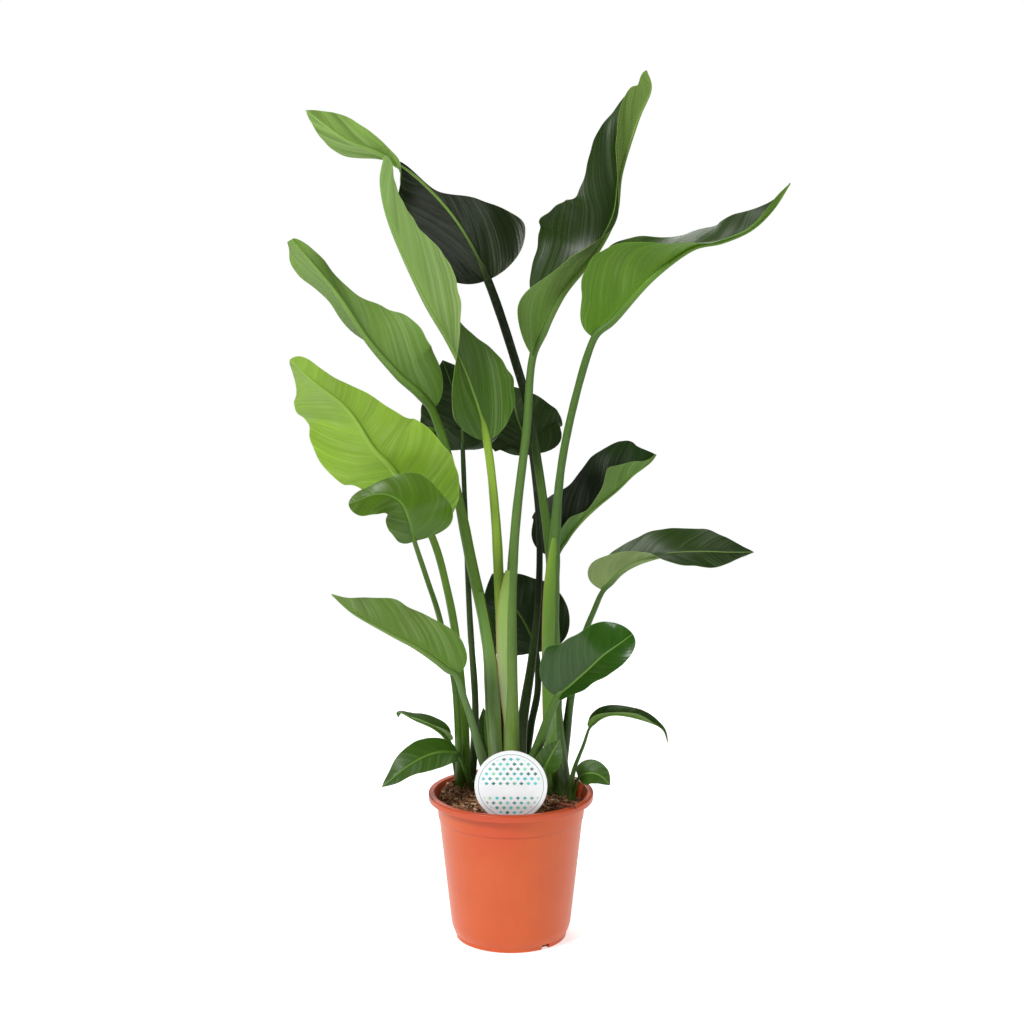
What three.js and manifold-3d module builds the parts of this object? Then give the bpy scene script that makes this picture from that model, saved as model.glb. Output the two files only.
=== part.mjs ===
// A bird of paradise plant, 1.09 m high, in a round nursery pot 210 mm across.
// Millimetres, +Z up. The origin is the middle of the pot's underside and -Y is the front.
import * as THREE from "three";
import { mergeVertices } from "three/addons/utils/BufferGeometryUtils.js";
import Module from "manifold-3d";

const wasm = await Module();
wasm.setup();

// Driving dimensions
const CLEARANCE = 0.3; // between neighbouring pieces

const POT_HEIGHT = 190;
const RIM_RADIUS = 105;
const RIM_BAND = 9; // height of the turned-down rim
const WALL = 1.6;
const WALL_TOP_RADIUS = 95; // outside, under the rim
const WALL_FOOT_RADIUS = 75;
const FOOT_RADIUS = 71; // the ring that the pot stands on
const FOOT_HEIGHT = 7.5;
const FOOT_ROUNDING = 0.5;
const STEP_HEIGHT = 157; // the line round the wall
const STEP_OUT = 1;
const FLOOR_THICKNESS = 2;
const NOTCH = { width: 12, height: 6, depth: 14, count: 3, first: -52 };
const DRAIN = { radius: 5, ring: 46, count: 6 };
const POT_SIDES = 36;
const CROWN_SIDES = 24;

const SOIL_EDGE = 169; // soil surface at the wall
const SOIL_CROWN = 184; // and in the middle
const SOIL_DOME = 1.8; // how level the middle of the soil is
const CRUMBS = { height: 0.8, x: 6, y: 7 }; // small unevenness of the soil
const CROWN_BOTTOM = 140; // the foot of each shoot, in the soil

const LABEL = { radius: 45, thickness: 1.2, centre: [0, -80, 221] };
const STAKE = { width: 12, bottom: 118 };

const BLADE_THICKNESS = 1;
const KEEL_END = 0.5; // how far the midrib stands out at the leaf tip
const NECK_SHARE = 0.8; // width of the blade's foot, of the stalk's
const NECK_LENGTH = 0.12; // where the foot has run out into the blade
const TIP_HALF_WIDTH = 0.8;
const WAVES_OUT_OF_STEP = 1.3; // between the two margins, in radians
const STALK_SIDES = 7;
const STALK_STEP = 70;
const LOBE_END = 0.22; // the lobes beside the stalk reach back over this share of the blade
const LOBE_FULLNESS = 1.2; // how soon a lobe gets its whole length, away from the midrib
const LOBE_POWER = 1.5; // and how round it is
const END_CROWDING = 0.35; // rows of corners stand closer at the two ends of a blade
const BIG_BLADE = 150; // blades longer than this have more rows
const bigBladeRows = { steps: 12, oneSide: [0.08, 0.36, 0.7, 1] };
const smallBladeRows = { steps: 8, oneSide: [0.14, 0.58, 1] };

// Colours
const darkGreen = 0x2c4a22;
const leafGreen = 0x3f6f2a;
const midGreen = 0x5b8a3a;
const limeGreen = 0x86ab42;
const stalkGreen = 0x6a9150;
const potOrange = 0xd8683f;
const soilBrown = 0x4a3122;
const fibreBrown = 0x6b3a26;
const labelWhite = 0xf2f3f0;

// Where each shoot stands in the soil, and the radius of its foot
const shoots = {
  left: { x: -58, y: 28, radius: 18 },
  centre: { x: -9, y: 5, radius: 30 },
  back: { x: 11, y: 51, radius: 19 },
  right: { x: 55, y: 28, radius: 24 },
  far_right: { x: 76, y: 2, radius: 8.5 },
};

// Heaps and hollows of the soil: place, height and reach
const heaps = [
  { x: -70, y: 34, height: 16, reach: 30 },
  { x: -84, y: -8, height: 9, reach: 22 },
  { x: -30, y: 74, height: 8, reach: 24 },
  { x: -50, y: -52, height: 4, reach: 22 },
  { x: 48, y: -48, height: 5, reach: 20 },
  { x: 74, y: 44, height: -3, reach: 24 },
];

// The leaves. stalk and midrib are the line of the leaf from the soil to its tip. upperSide is where
// the upper face looks, fold is how many degrees the left and right halves are lifted towards it,
// spread is how wide each half is against the leaf's outline; all are read at even steps from the
// blade's foot to its tip. wave is the height and count of the waves.
const leaves = [
  {
    name: "leaf_01",
    shoot: "right",
    stalk: [
      [53, 30, 175], [58, 40, 298], [54, 45, 415], [47, 55, 509], [25, 65, 656], [4, 65, 736],
    ],
    stalkRadii: [9, 7, 6, 5.5, 5.5],
    midrib: [
      [-29, 55, 834], [-63, 50, 901], [-103, 30, 949], [-151, 0, 987], [-197, -30, 1007],
      [-241, -60, 1040],
    ],
    upperSide: [
      [0, -1, 0.1], [0.3, -0.95, 0.4], [0.45, -0.85, 0.25], [0.5, -0.85, 0.1], [0.3, 0.7, 0.6],
      [0.15, 0.95, 0.3], [0.1, 1, 0.1],
    ],
    fold: [[10, 0], [0, 4], [-6, 5], [0, -30], [10, 10], [30, 25], [20, 20]],
    spread: [
      [0.8, 0.95], [0.95, 1.14], [1.02, 0.66], [1.05, 0.12], [0.75, 0.1], [0.3, 0.36], [0.6, 1],
      [1, 1.05], [1, 1],
    ],
    halfWidth: 66,
    widestAt: 0.2,
    tipTaper: 0.85,
    lobe: 4,
    wave: [2, 2.5],
    colour: darkGreen,
  },
  {
    name: "leaf_02",
    shoot: "centre",
    stalk: [[-4, 10, 174], [-8, 5, 308], [-14, 0, 438], [-19, 0, 540]],
    stalkRadii: [10, 8, 7, 6, 5],
    midrib: [
      [-30, -5, 641], [-51, -15, 714], [-74, -20, 766], [-105, -28, 822], [-142, -30, 902],
      [-155, -28, 953], [-151, -25, 988],
    ],
    upperSide: [
      [0.1, -1, 0.1], [0.2, -0.95, 0.2], [0.5, -0.85, 0.3], [1, -0.25, 0.3], [1, -0.2, 0.3],
      [1, -0.2, 0.3], [1, -0.2, 0.3],
    ],
    fold: [[10, 0], [40, 5], [65, 10], [80, 50], [80, 50], [75, 45], [60, 40]],
    spread: [
      [0.58, 0.8], [0.95, 1.1], [0.95, 0.95], [0.74, 0.5], [1.04, 0.5], [1.2, 0.6], [0.88, 0.6],
      [0.98, 0.7], [1.6, 1],
    ],
    halfWidth: 48,
    widestAt: 0.2,
    tipTaper: 0.5,
    lobe: 2,
    wave: [3, 3],
    colour: limeGreen,
  },
  {
    name: "leaf_03",
    shoot: "centre",
    stalk: [[1, -5, 179], [0, -12, 312], [0, -15, 441], [6, -15, 543], [19, -15, 655]],
    stalkRadii: [12, 10, 8, 6.5, 5.5, 5],
    midrib: [
      [27, -15, 747], [56, -10, 817], [99, 0, 870], [124, 10, 916], [132, 15, 967],
      [153, 20, 1030], [169, 25, 1066], [164, 25, 1089],
    ],
    upperSide: [
      [-0.8, -0.3, 0.5], [-0.8, -0.3, 0.4], [-0.8, -0.15, 0.3], [-0.9, -0.1, 0.2], [-0.9, -0.1, 0],
    ],
    fold: [[20, 30], [35, 65], [30, 60], [45, 25], [80, 0], [80, 5], [75, 45], [65, 75], [60, 75]],
    spread: [
      [0.5, 0.85], [0.5, 1.1], [1.12, 0.64], [1.42, 0.7], [1.12, 0.4], [0.85, 0.32], [1, 0.62],
      [1, 1], [1.3, 1.3],
    ],
    halfWidth: 58,
    widestAt: 0.3,
    tipTaper: 0.6,
    lobe: 10,
    wave: [3, 3],
    colour: darkGreen,
  },
  {
    name: "leaf_04",
    shoot: "right",
    stalk: [
      [66, 25, 174], [58, 25, 249], [51, 25, 329], [51, 20, 434], [55, 5, 526], [63, -10, 617],
      [81, -20, 705],
    ],
    stalkRadii: [12, 11.5, 11, 9.5, 6, 5.3, 5],
    midrib: [
      [101, -30, 770], [126, -35, 800], [166, -50, 845], [213, -60, 880], [250, -70, 889],
      [282, -80, 903], [306, -90, 926], [326, -95, 956],
    ],
    upperSide: [
      [-0.7, -0.1, 0.7], [-0.6, -0.1, 0.8], [-0.4, -0.1, 0.9], [-0.3, -0.2, 0.8], [-0.3, 0.2, 0.9],
    ],
    fold: [[70, 88], [55, 75], [15, 25], [55, 15], [50, 60]],
    spread: [
      [0.62, 0.62], [1, 1], [1.3, 1.3], [1.28, 1.4], [1.08, 1.2], [0.8, 0.9], [0.95, 0.9], [1, 1],
      [1, 1],
    ],
    halfWidth: 54,
    widestAt: 0.18,
    tipTaper: 1.1,
    lobe: 10,
    wave: [3, 3],
    colour: midGreen,
  },
  {
    name: "leaf_05",
    shoot: "centre",
    stalk: [[-13, 19, 171], [-22, 12, 280], [-29, 8, 385], [-50, 0, 489], [-68, -5, 579]],
    stalkRadii: [11, 10, 8, 6.5, 5.5],
    midrib: [
      [-97, -15, 681], [-138, -25, 726], [-174, -40, 770], [-207, -55, 823], [-241, -70, 868],
      [-259, -75, 890],
    ],
    upperSide: [[0.3, 0.9, 0.3], [0.2, 0.9, 0.2], [0, 0.9, 0], [0.1, 0.8, 0.2]],
    fold: [[15, 60], [15, 62], [55, 62], [45, 50]],
    spread: [
      [0.6, 1], [1, 1], [1.05, 1], [1.05, 0.8], [0.8, 0.7], [0.5, 0.85], [0.5, 1.15], [0.42, 1.5],
      [0.35, 1.8],
    ],
    halfWidth: 54,
    widestAt: 0.36,
    tipTaper: 0.4,
    lobe: 10,
    wave: [3, 3],
    colour: midGreen,
  },
  {
    name: "leaf_06",
    shoot: "left",
    stalk: [[-58, 30, 186], [-60, 20, 277], [-67, 0, 374], [-79, -25, 456]],
    stalkRadii: [7, 6, 5, 4.5],
    midrib: [
      [-98, -45, 530], [-139, -65, 609], [-166, -75, 642], [-194, -85, 688], [-232, -95, 722],
      [-262, -90, 749],
    ],
    upperSide: [[0.1, 0.95, 0.2], [0.1, 0.95, 0.2], [0, 0.95, 0], [0.1, 0.8, 0.3]],
    fold: [[8, 8], [8, 12], [12, 50], [20, 45]],
    spread: [
      [0.8, 0.7], [1, 0.6], [1.04, 0.68], [0.95, 1], [0.85, 1.3], [0.6, 1.65], [0.42, 1.8],
      [0.45, 1.9], [0.7, 2.2],
    ],
    halfWidth: 68,
    widestAt: 0.36,
    tipTaper: 0.5,
    lobe: 10,
    wave: [3, 3],
    colour: limeGreen,
  },
  {
    name: "leaf_07",
    shoot: "left",
    stalk: [[-65, 20, 187], [-70, -10, 325], [-88, -32, 420], [-102, -62, 476]],
    stalkRadii: [6, 4.5, 3.5, 3],
    midrib: [
      [-116, -95, 531], [-122, -108, 561], [-133, -112, 583], [-158, -110, 591], [-194, -100, 577],
    ],
    upperSide: [[0, -1, 0.2], [0, -1, 0.4], [-0.1, -0.8, 0.6], [-0.1, -0.7, 0.7]],
    fold: [[20, 5], [20, 5], [20, 10], [10, 20]],
    spread: [
      [0.5, 0.75], [0.45, 0.92], [0.52, 0.96], [0.5, 0.88], [0.5, 0.7], [0.75, 0.45], [0.9, 0.3],
      [1, 0.4], [1, 0.5],
    ],
    halfWidth: 56,
    widestAt: 0.26,
    tipTaper: 0.6,
    lobe: 3,
    wave: [2, 2],
    colour: leafGreen,
  },
  {
    name: "leaf_08",
    shoot: "left",
    stalk: [[-53, 37, 178], [-48, 42, 230], [-46, 46, 296], [-53, 48, 412]],
    stalkRadii: [6, 4.5, 3.5, 3],
    midrib: [[-61, 58, 620], [-62, 62, 651], [-71, 65, 689], [-86, 62, 733]],
    upperSide: [[0, -1, 0.1], [0, -1, 0.2], [0, -1, 0.4]],
    fold: [[15, 15], [20, 20], [30, 30]],
    halfWidth: 54,
    widestAt: 0.36,
    tipTaper: 0.9,
    lobe: 10,
    wave: [3, 3],
    colour: darkGreen,
  },
  {
    name: "leaf_09",
    shoot: "back",
    stalk: [[13, 41, 173], [14, 40, 259], [27, 50, 349], [35, 60, 425], [36, 75, 514]],
    stalkRadii: [8, 7, 5, 4, 3],
    midrib: [[26, 90, 609], [18, 100, 629], [9, 112, 651], [3, 125, 673], [-3, 138, 692]],
    upperSide: [[0.3, -1, 0.3], [0.3, -1, 0.4], [0.3, -1, 0.6]],
    fold: [[12, 8], [15, 12], [25, 20]],
    halfWidth: 55,
    widestAt: 0.36,
    tipTaper: 0.9,
    lobe: 6,
    wave: [2.5, 2],
    colour: darkGreen,
  },
  {
    name: "leaf_10",
    shoot: "right",
    stalk: [[56, 44, 174], [61, 72, 292], [57, 97, 395]],
    stalkRadii: [7, 5.5, 4, 3.5],
    midrib: [
      [59, 110, 471], [70, 113, 496], [88, 118, 518], [111, 125, 538], [137, 133, 557],
      [158, 141, 575], [173, 149, 584], [184, 157, 591], [191, 165, 598],
    ],
    upperSide: [
      [-0.7, -0.4, 0.5], [-0.7, -0.35, 0.55], [-0.7, -0.3, 0.6], [-0.6, -0.15, 0.7],
      [-0.6, -0.2, 0.75],
    ],
    fold: [[60, 55], [60, 55], [62, 60], [66, 60], [66, 60]],
    spread: [
      [0.98, 0.5], [1.04, 0.55], [0.9, 0.42], [0.74, 0.1], [0.84, 0.36], [1.02, 0.82], [1.08, 0.5],
      [1.25, 0.25], [1.2, 0.2],
    ],
    halfWidth: 58,
    widestAt: 0.36,
    tipTaper: 0.45,
    lobe: 2,
    wave: [1.5, 3],
    colour: leafGreen,
  },
  {
    name: "leaf_11",
    shoot: "right",
    stalk: [[62, 38, 178], [70, 40, 245], [78, 35, 313], [91, 25, 381], [106, 18, 424]],
    stalkRadii: [8, 6, 4.5, 3.5],
    midrib: [
      [116, 12, 448], [134, 5, 473], [161, 0, 489], [198, -10, 500], [235, -15, 503],
      [271, -20, 503], [300, -25, 504],
    ],
    upperSide: [[-0.5, 0.1, 0.9], [-0.3, 0, 1], [-0.1, -0.4, 0.9], [0, -0.7, 0.7], [0, -0.7, 0.7]],
    fold: [[30, 62], [70, 50], [30, 25], [5, 10], [15, 15]],
    spread: [
      [0.8, 1.1], [0.75, 1.1], [0.66, 0.7], [0.72, 0.45], [0.88, 0.9], [1, 1.1], [1.08, 1.05],
      [1, 1], [1, 1],
    ],
    halfWidth: 42,
    widestAt: 0.36,
    tipTaper: 0.9,
    lobe: 10,
    wave: [3, 3],
    colour: leafGreen,
  },
  {
    name: "leaf_12",
    shoot: "centre",
    stalk: [[7, -2, 178], [22, -14, 222], [36, -28, 262], [48, -40, 300]],
    stalkRadii: [9, 7, 5],
    midrib: [
      [58, -50, 326], [75, -60, 345], [94, -72, 366], [113, -82, 387], [133, -86, 403],
      [148, -84, 414],
    ],
    upperSide: [[-0.2, -1, 0.4], [-0.2, -1, 0.4], [-0.1, -1, 0.5], [0.1, -0.8, 0.6]],
    fold: [[10, 30], [10, 35], [10, 30], [15, 20]],
    spread: [
      [0.9, 0.4], [1.22, 0.35], [1.2, 0.4], [1.08, 0.5], [1, 0.6], [0.98, 0.75], [1.05, 0.85],
      [1.2, 0.9], [1.2, 1],
    ],
    halfWidth: 46,
    widestAt: 0.36,
    tipTaper: 0.5,
    lobe: 24,
    wave: [1.5, 2],
    colour: leafGreen,
  },
  {
    name: "leaf_13",
    shoot: "centre",
    stalk: [[-19, -1, 180], [-27, -9, 210], [-37, -30, 246], [-50, -50, 300], [-60, -65, 336]],
    stalkRadii: [8, 7, 5, 4],
    midrib: [
      [-67, -75, 360], [-85, -81, 379], [-115, -90, 402], [-151, -98, 423], [-189, -106, 446],
      [-215, -110, 469],
    ],
    upperSide: [[0.5, 0.2, 0.9], [0.4, 0.2, 0.9], [0.3, 0.2, 0.9], [0.1, 0.2, 1]],
    fold: [[85, 70], [85, 60], [80, 50], [50, 30]],
    spread: [
      [1, 1], [1, 1], [0.92, 0.95], [0.85, 0.95], [0.9, 1], [1.05, 1.1], [1, 1], [1, 1], [1, 1],
    ],
    halfWidth: 44,
    widestAt: 0.36,
    tipTaper: 0.9,
    lobe: 10,
    wave: [3, 3],
    colour: leafGreen,
  },
  {
    name: "leaf_14",
    shoot: "left",
    stalk: [[-52, 18, 185], [-57, 0, 217]],
    stalkRadii: [5, 4, 3],
    midrib: [[-68, -15, 243], [-96, -35, 250], [-127, -55, 240], [-160, -65, 215]],
    upperSide: [[0, -0.6, 0.8], [0, -0.6, 0.8], [-0.2, -0.6, 0.8]],
    fold: [[5, 5], [5, 5], [10, 10]],
    halfWidth: 25,
    widestAt: 0.36,
    tipTaper: 0.9,
    lobe: 4,
    wave: [1, 2],
    colour: leafGreen,
  },
  {
    name: "leaf_15",
    shoot: "left",
    stalk: [[-68, 25, 186], [-72, 20, 218]],
    stalkRadii: [4, 3, 2.5],
    midrib: [[-79, 10, 254], [-95, 5, 272], [-121, -5, 286], [-139, -10, 296], [-142, -15, 291]],
    upperSide: [[0.2, -0.1, 1], [0, -0.1, 1], [-0.3, 0, 0.9]],
    fold: [[30, 30], [20, 20], [10, 10]],
    halfWidth: 20,
    widestAt: 0.36,
    tipTaper: 0.9,
    lobe: 4,
    wave: [1, 2],
    colour: leafGreen,
  },
  {
    name: "leaf_16",
    shoot: "far_right",
    stalk: [[75, 3, 182], [80, 5, 215], [92, 8, 247]],
    stalkRadii: [6, 3, 1.8],
    midrib: [
      [100, 5, 272], [113, 0, 287], [133, -5, 293], [163, -10, 288], [190, -15, 277],
      [198, -18, 259],
    ],
    upperSide: [[-0.4, -0.1, 0.9], [0, -0.1, 1], [0.3, -0.1, 0.9]],
    fold: [[40, 40], [30, 30], [20, 20]],
    halfWidth: 14,
    widestAt: 0.36,
    tipTaper: 0.9,
    lobe: 3,
    wave: [1, 2],
    colour: leafGreen,
  },
  {
    name: "leaf_17",
    shoot: "far_right",
    stalk: [[80, 1, 182], [83, -2, 200]],
    stalkRadii: [3, 2],
    midrib: [[86, -3, 209], [100, -8, 216], [114, -12, 213], [125, -15, 202]],
    upperSide: [[0, -0.8, 0.6], [0, -0.8, 0.6]],
    fold: [[10, 10], [10, 10]],
    halfWidth: 17,
    widestAt: 0.36,
    tipTaper: 0.9,
    lobe: 3,
    wave: [1, 2],
    colour: leafGreen,
  },
  {
    name: "leaf_18",
    shoot: "back",
    stalk: [[14, 55, 172], [25, 80, 247], [35, 100, 296]],
    stalkRadii: [7, 5, 4],
    midrib: [[33, 115, 343], [20, 125, 376], [-3, 140, 410], [-25, 150, 441]],
    upperSide: [[0, -1, 0.2], [0, -1, 0.3], [0, -1, 0.5]],
    fold: [[10, 10], [15, 15], [20, 20]],
    halfWidth: 62,
    widestAt: 0.36,
    tipTaper: 0.9,
    lobe: 10,
    wave: [3, 3],
    colour: darkGreen,
  },
  {
    name: "leaf_19",
    shoot: "right",
    stalk: [[50, 18, 178], [46, -10, 195], [44, -27, 208]],
    stalkRadii: [5, 4],
    midrib: [[41, -33, 226], [49, -38, 246], [61, -35, 267]],
    upperSide: [[0, -1, 0.2], [0, -1, 0.3]],
    fold: [[20, 20], [20, 20]],
    halfWidth: 17,
    widestAt: 0.36,
    tipTaper: 0.9,
    lobe: 0,
    wave: [0, 2],
    colour: leafGreen,
  },
  {
    name: "leaf_20",
    shoot: "back",
    stalk: [[4, 50, 172], [-7, 55, 190], [-18, 59, 204]],
    stalkRadii: [5, 4],
    midrib: [[-27, 63, 212], [-33, 70, 239], [-36, 75, 278]],
    upperSide: [[0.3, -1, 0.2], [0.3, -1, 0.3]],
    fold: [[30, 30], [20, 20]],
    halfWidth: 16,
    widestAt: 0.36,
    tipTaper: 0.9,
    lobe: 2,
    wave: [0, 2],
    colour: leafGreen,
  },];

// Geometry of any closed body
function merged(geometry) {
  geometry.deleteAttribute("normal");
  geometry.deleteAttribute("uv");
  return mergeVertices(geometry, 1e-3);
}

function solid(geometry) {
  const closed = merged(geometry);
  const mesh = new wasm.Mesh({
    numProp: 3,
    vertProperties: closed.attributes.position.array,
    triVerts: new Uint32Array(closed.index.array),
  });
  return new wasm.Manifold(mesh);
}

function geometryOf(manifold) {
  const mesh = manifold.getMesh();
  const geometry = new THREE.BufferGeometry();
  geometry.setAttribute("position", new THREE.BufferAttribute(mesh.vertProperties, 3));
  geometry.setIndex(new THREE.BufferAttribute(mesh.triVerts, 1));
  geometry.computeVertexNormals();
  return geometry;
}

// A body turned round the Z axis. The profile is radius and height, upwards on the outside.
function turned(profile, sides) {
  const points = profile.map(([radius, height]) => new THREE.Vector2(radius, height));
  return new THREE.LatheGeometry(points, sides).rotateX(Math.PI / 2);
}

function cylinder(radius, bottom, top, x, y, sides = 32) {
  const geometry = new THREE.CylinderGeometry(radius, radius, top - bottom, sides);
  return geometry.rotateX(Math.PI / 2).translate(x, y, (top + bottom) / 2);
}

// Four corners as two triangles, seen counter-clockwise from outside
function quad(faces, a, b, c, d) {
  faces.push(a, b, c, a, c, d);
}

function closedBody(points, faces) {
  const geometry = new THREE.BufferGeometry().setFromPoints(points);
  geometry.setIndex(faces);
  geometry.computeVertexNormals();
  return geometry;
}

// Pot
function wallRadius(height) {
  const share = (height - FOOT_HEIGHT) / (POT_HEIGHT - RIM_BAND - FOOT_HEIGHT);
  const taper = WALL_FOOT_RADIUS + (WALL_TOP_RADIUS - STEP_OUT - WALL_FOOT_RADIUS) * share;
  return height > STEP_HEIGHT ? taper + STEP_OUT : taper;
}

const ledge = FOOT_HEIGHT + WALL; // inside height of the step from the foot ring to the wall
const innerFoot = FOOT_RADIUS - WALL - FOOT_ROUNDING;
const belowStep = STEP_HEIGHT - STEP_OUT / 2;
const aboveStep = STEP_HEIGHT + STEP_OUT / 2;

function potGeometry() {
  const skirt = POT_HEIGHT - RIM_BAND;
  const outside = [
    [FOOT_RADIUS - FOOT_ROUNDING, 0],
    [FOOT_RADIUS, FOOT_ROUNDING],
    [FOOT_RADIUS, FOOT_HEIGHT],
    [WALL_FOOT_RADIUS, FOOT_HEIGHT],
    [wallRadius(belowStep), belowStep],
    [wallRadius(aboveStep), aboveStep],
    [WALL_TOP_RADIUS, skirt],
    [WALL_TOP_RADIUS, POT_HEIGHT - WALL],
    [RIM_RADIUS - WALL, POT_HEIGHT - WALL],
    [RIM_RADIUS - WALL, skirt],
    [RIM_RADIUS, skirt],
    [RIM_RADIUS, POT_HEIGHT - 1],
    [RIM_RADIUS - 1, POT_HEIGHT],
  ];
  const inside = [
    [WALL_TOP_RADIUS - WALL, POT_HEIGHT],
    [WALL_TOP_RADIUS - WALL, skirt],
    [wallRadius(aboveStep) - WALL, aboveStep],
    [wallRadius(belowStep) - WALL, belowStep],
    [wallRadius(ledge) - WALL, ledge],
    [innerFoot, ledge],
    [innerFoot, FLOOR_THICKNESS],
  ];
  let pot = solid(turned([[0, 0], ...outside, ...inside, [0, FLOOR_THICKNESS]], POT_SIDES));
  for (let i = 0; i < NOTCH.count; i++) {
    const angle = THREE.MathUtils.degToRad(NOTCH.first + (360 / NOTCH.count) * i);
    const notch = new THREE.BoxGeometry(NOTCH.depth, NOTCH.width, NOTCH.height * 2);
    pot = pot.subtract(solid(notch.translate(FOOT_RADIUS, 0, 0).rotateZ(angle)));
  }
  for (let i = 0; i < DRAIN.count; i++) {
    const angle = (2 * Math.PI * i) / DRAIN.count;
    const x = DRAIN.ring * Math.cos(angle);
    const y = DRAIN.ring * Math.sin(angle);
    pot = pot.subtract(solid(cylinder(DRAIN.radius, -1, FLOOR_THICKNESS + 1, x, y, 16)));
  }
  return geometryOf(pot);
}

// Soil
function soilHeight(x, y) {
  const share = Math.min(Math.hypot(x, y) / wallRadius(SOIL_EDGE), 1);
  let height = SOIL_CROWN + (SOIL_EDGE - SOIL_CROWN) * share ** SOIL_DOME;
  for (const heap of heaps) {
    const away = Math.hypot(x - heap.x, y - heap.y) / heap.reach;
    height += heap.height * Math.exp(-away * away);
  }
  return height + CRUMBS.height * Math.sin(x / CRUMBS.x) * Math.cos(y / CRUMBS.y);
}

function soilGeometry() {
  const edge = wallRadius(SOIL_EDGE - 4) - WALL - CLEARANCE;
  const side = [
    [0, FLOOR_THICKNESS + CLEARANCE],
    [innerFoot - CLEARANCE, FLOOR_THICKNESS + CLEARANCE],
    [innerFoot - CLEARANCE, ledge + CLEARANCE],
    [wallRadius(ledge) - WALL - CLEARANCE, ledge + CLEARANCE],
    [wallRadius(belowStep) - WALL - CLEARANCE, belowStep],
    [wallRadius(aboveStep) - WALL - CLEARANCE, aboveStep],
  ];
  const surface = [1, 0.84, 0.66, 0.48, 0.28, 0].map((share) => [edge * share, SOIL_EDGE]);
  const geometry = turned([...side, ...surface], POT_SIDES);
  const place = geometry.attributes.position;
  for (let i = 0; i < place.count; i++) {
    const x = place.getX(i);
    const y = place.getY(i);
    if (place.getZ(i) > aboveStep + 1) place.setZ(i, soilHeight(x, y));
  }
  let soil = solid(geometry);
  for (const { x, y, radius } of Object.values(shoots)) {
    const hole = cylinder(radius + CLEARANCE, CROWN_BOTTOM - CLEARANCE, POT_HEIGHT * 2, x, y, CROWN_SIDES);
    soil = soil.subtract(solid(hole));
  }
  return geometryOf(soil.subtract(solid(stake(CLEARANCE))));
}

// Label: a round board on a flat stake
function stake(spare) {
  const [x, y, middle] = LABEL.centre;
  const top = middle - LABEL.radius / 2;
  const bottom = STAKE.bottom - spare;
  const size = [STAKE.width + 2 * spare, LABEL.thickness + 2 * spare, top - bottom];
  return new THREE.BoxGeometry(...size).translate(x, y, (top + bottom) / 2);
}

function labelGeometry() {
  const board = new THREE.CylinderGeometry(LABEL.radius, LABEL.radius, LABEL.thickness, 56);
  return geometryOf(solid(board.translate(...LABEL.centre)).add(solid(stake(0))));
}

// Root fibre that lies over the soil and the rim
const fibre = {
  radius: 2,
  path: [[50, -46, 186], [60, -57, 191], [69, -66, 192.4], [77, -72, 192.4], [83, -77, 189]],
};

// Curves
function vectors(rows) {
  return rows.map((row) => new THREE.Vector3(...row));
}

// Value at a share of the way along evenly spaced stations
function along(rows, share) {
  const stations = rows.map((row) => [...[row].flat(), 0, 0].slice(0, 3));
  if (stations.length === 1) return new THREE.Vector3(...stations[0]);
  return new THREE.CatmullRomCurve3(vectors(stations), false, "catmullrom").getPoint(share);
}

// Points and directions at shares of the length between two control points of a line
function spine(rows, from, to, shares) {
  const curve = new THREE.CatmullRomCurve3(vectors(rows), false, "catmullrom");
  const last = rows.length - 1;
  const fine = 300;
  const reached = [0];
  let before = curve.getPoint(from / last);
  for (let i = 1; i <= fine; i++) {
    const point = curve.getPoint((from + ((to - from) * i) / fine) / last);
    reached.push(reached[i - 1] + point.distanceTo(before));
    before = point;
  }
  const length = reached[fine];
  const stations = shares.map((share) => {
    const wanted = share * length;
    const next = Math.max(1, reached.findIndex((value) => value >= wanted - 1e-9));
    const part = (wanted - reached[next - 1]) / (reached[next] - reached[next - 1]);
    const at = (from + ((to - from) * (next - 1 + part)) / fine) / last;
    const ahead = curve.getPoint(Math.min(at + 1e-4, 1));
    const behind = curve.getPoint(Math.max(at - 1e-4, 0));
    return { point: curve.getPoint(at), tangent: ahead.sub(behind).normalize() };
  });
  return { length, stations };
}

// A round body along a line, closed at both ends
function tube(stations, radii, sides) {
  const points = [];
  const faces = [];
  stations.forEach(({ point, tangent }, row) => {
    const across = new THREE.Vector3(0, -1, 0.01).cross(tangent).normalize();
    const forward = tangent.clone().cross(across);
    for (let side = 0; side < sides; side++) {
      const angle = (2 * Math.PI * side) / sides;
      const corner = point.clone().addScaledVector(across, radii[row] * Math.cos(angle));
      points.push(corner.addScaledVector(forward, radii[row] * Math.sin(angle)));
    }
  });
  const last = (stations.length - 1) * sides;
  for (let side = 0; side < sides; side++) {
    const next = (side + 1) % sides;
    for (let row = 0; row < last; row += sides) {
      quad(faces, row + side, row + next, row + sides + next, row + sides + side);
    }
    if (side > 1) {
      faces.push(0, side, side - 1);
      faces.push(last, last + side - 1, last + side);
    }
  }
  return closedBody(points, faces);
}

// Leaf stalks, grown together at the foot of their shoot
function lineOf(leaf) {
  const { x, y } = shoots[leaf.shoot];
  const [footX, footY] = leaf.stalk[0];
  const root = [x + (footX - x) * 0.5, y + (footY - y) * 0.5, CROWN_BOTTOM + 6];
  return { rows: [root, ...leaf.stalk, ...leaf.midrib], bladeFrom: leaf.stalk.length + 1 };
}

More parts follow.
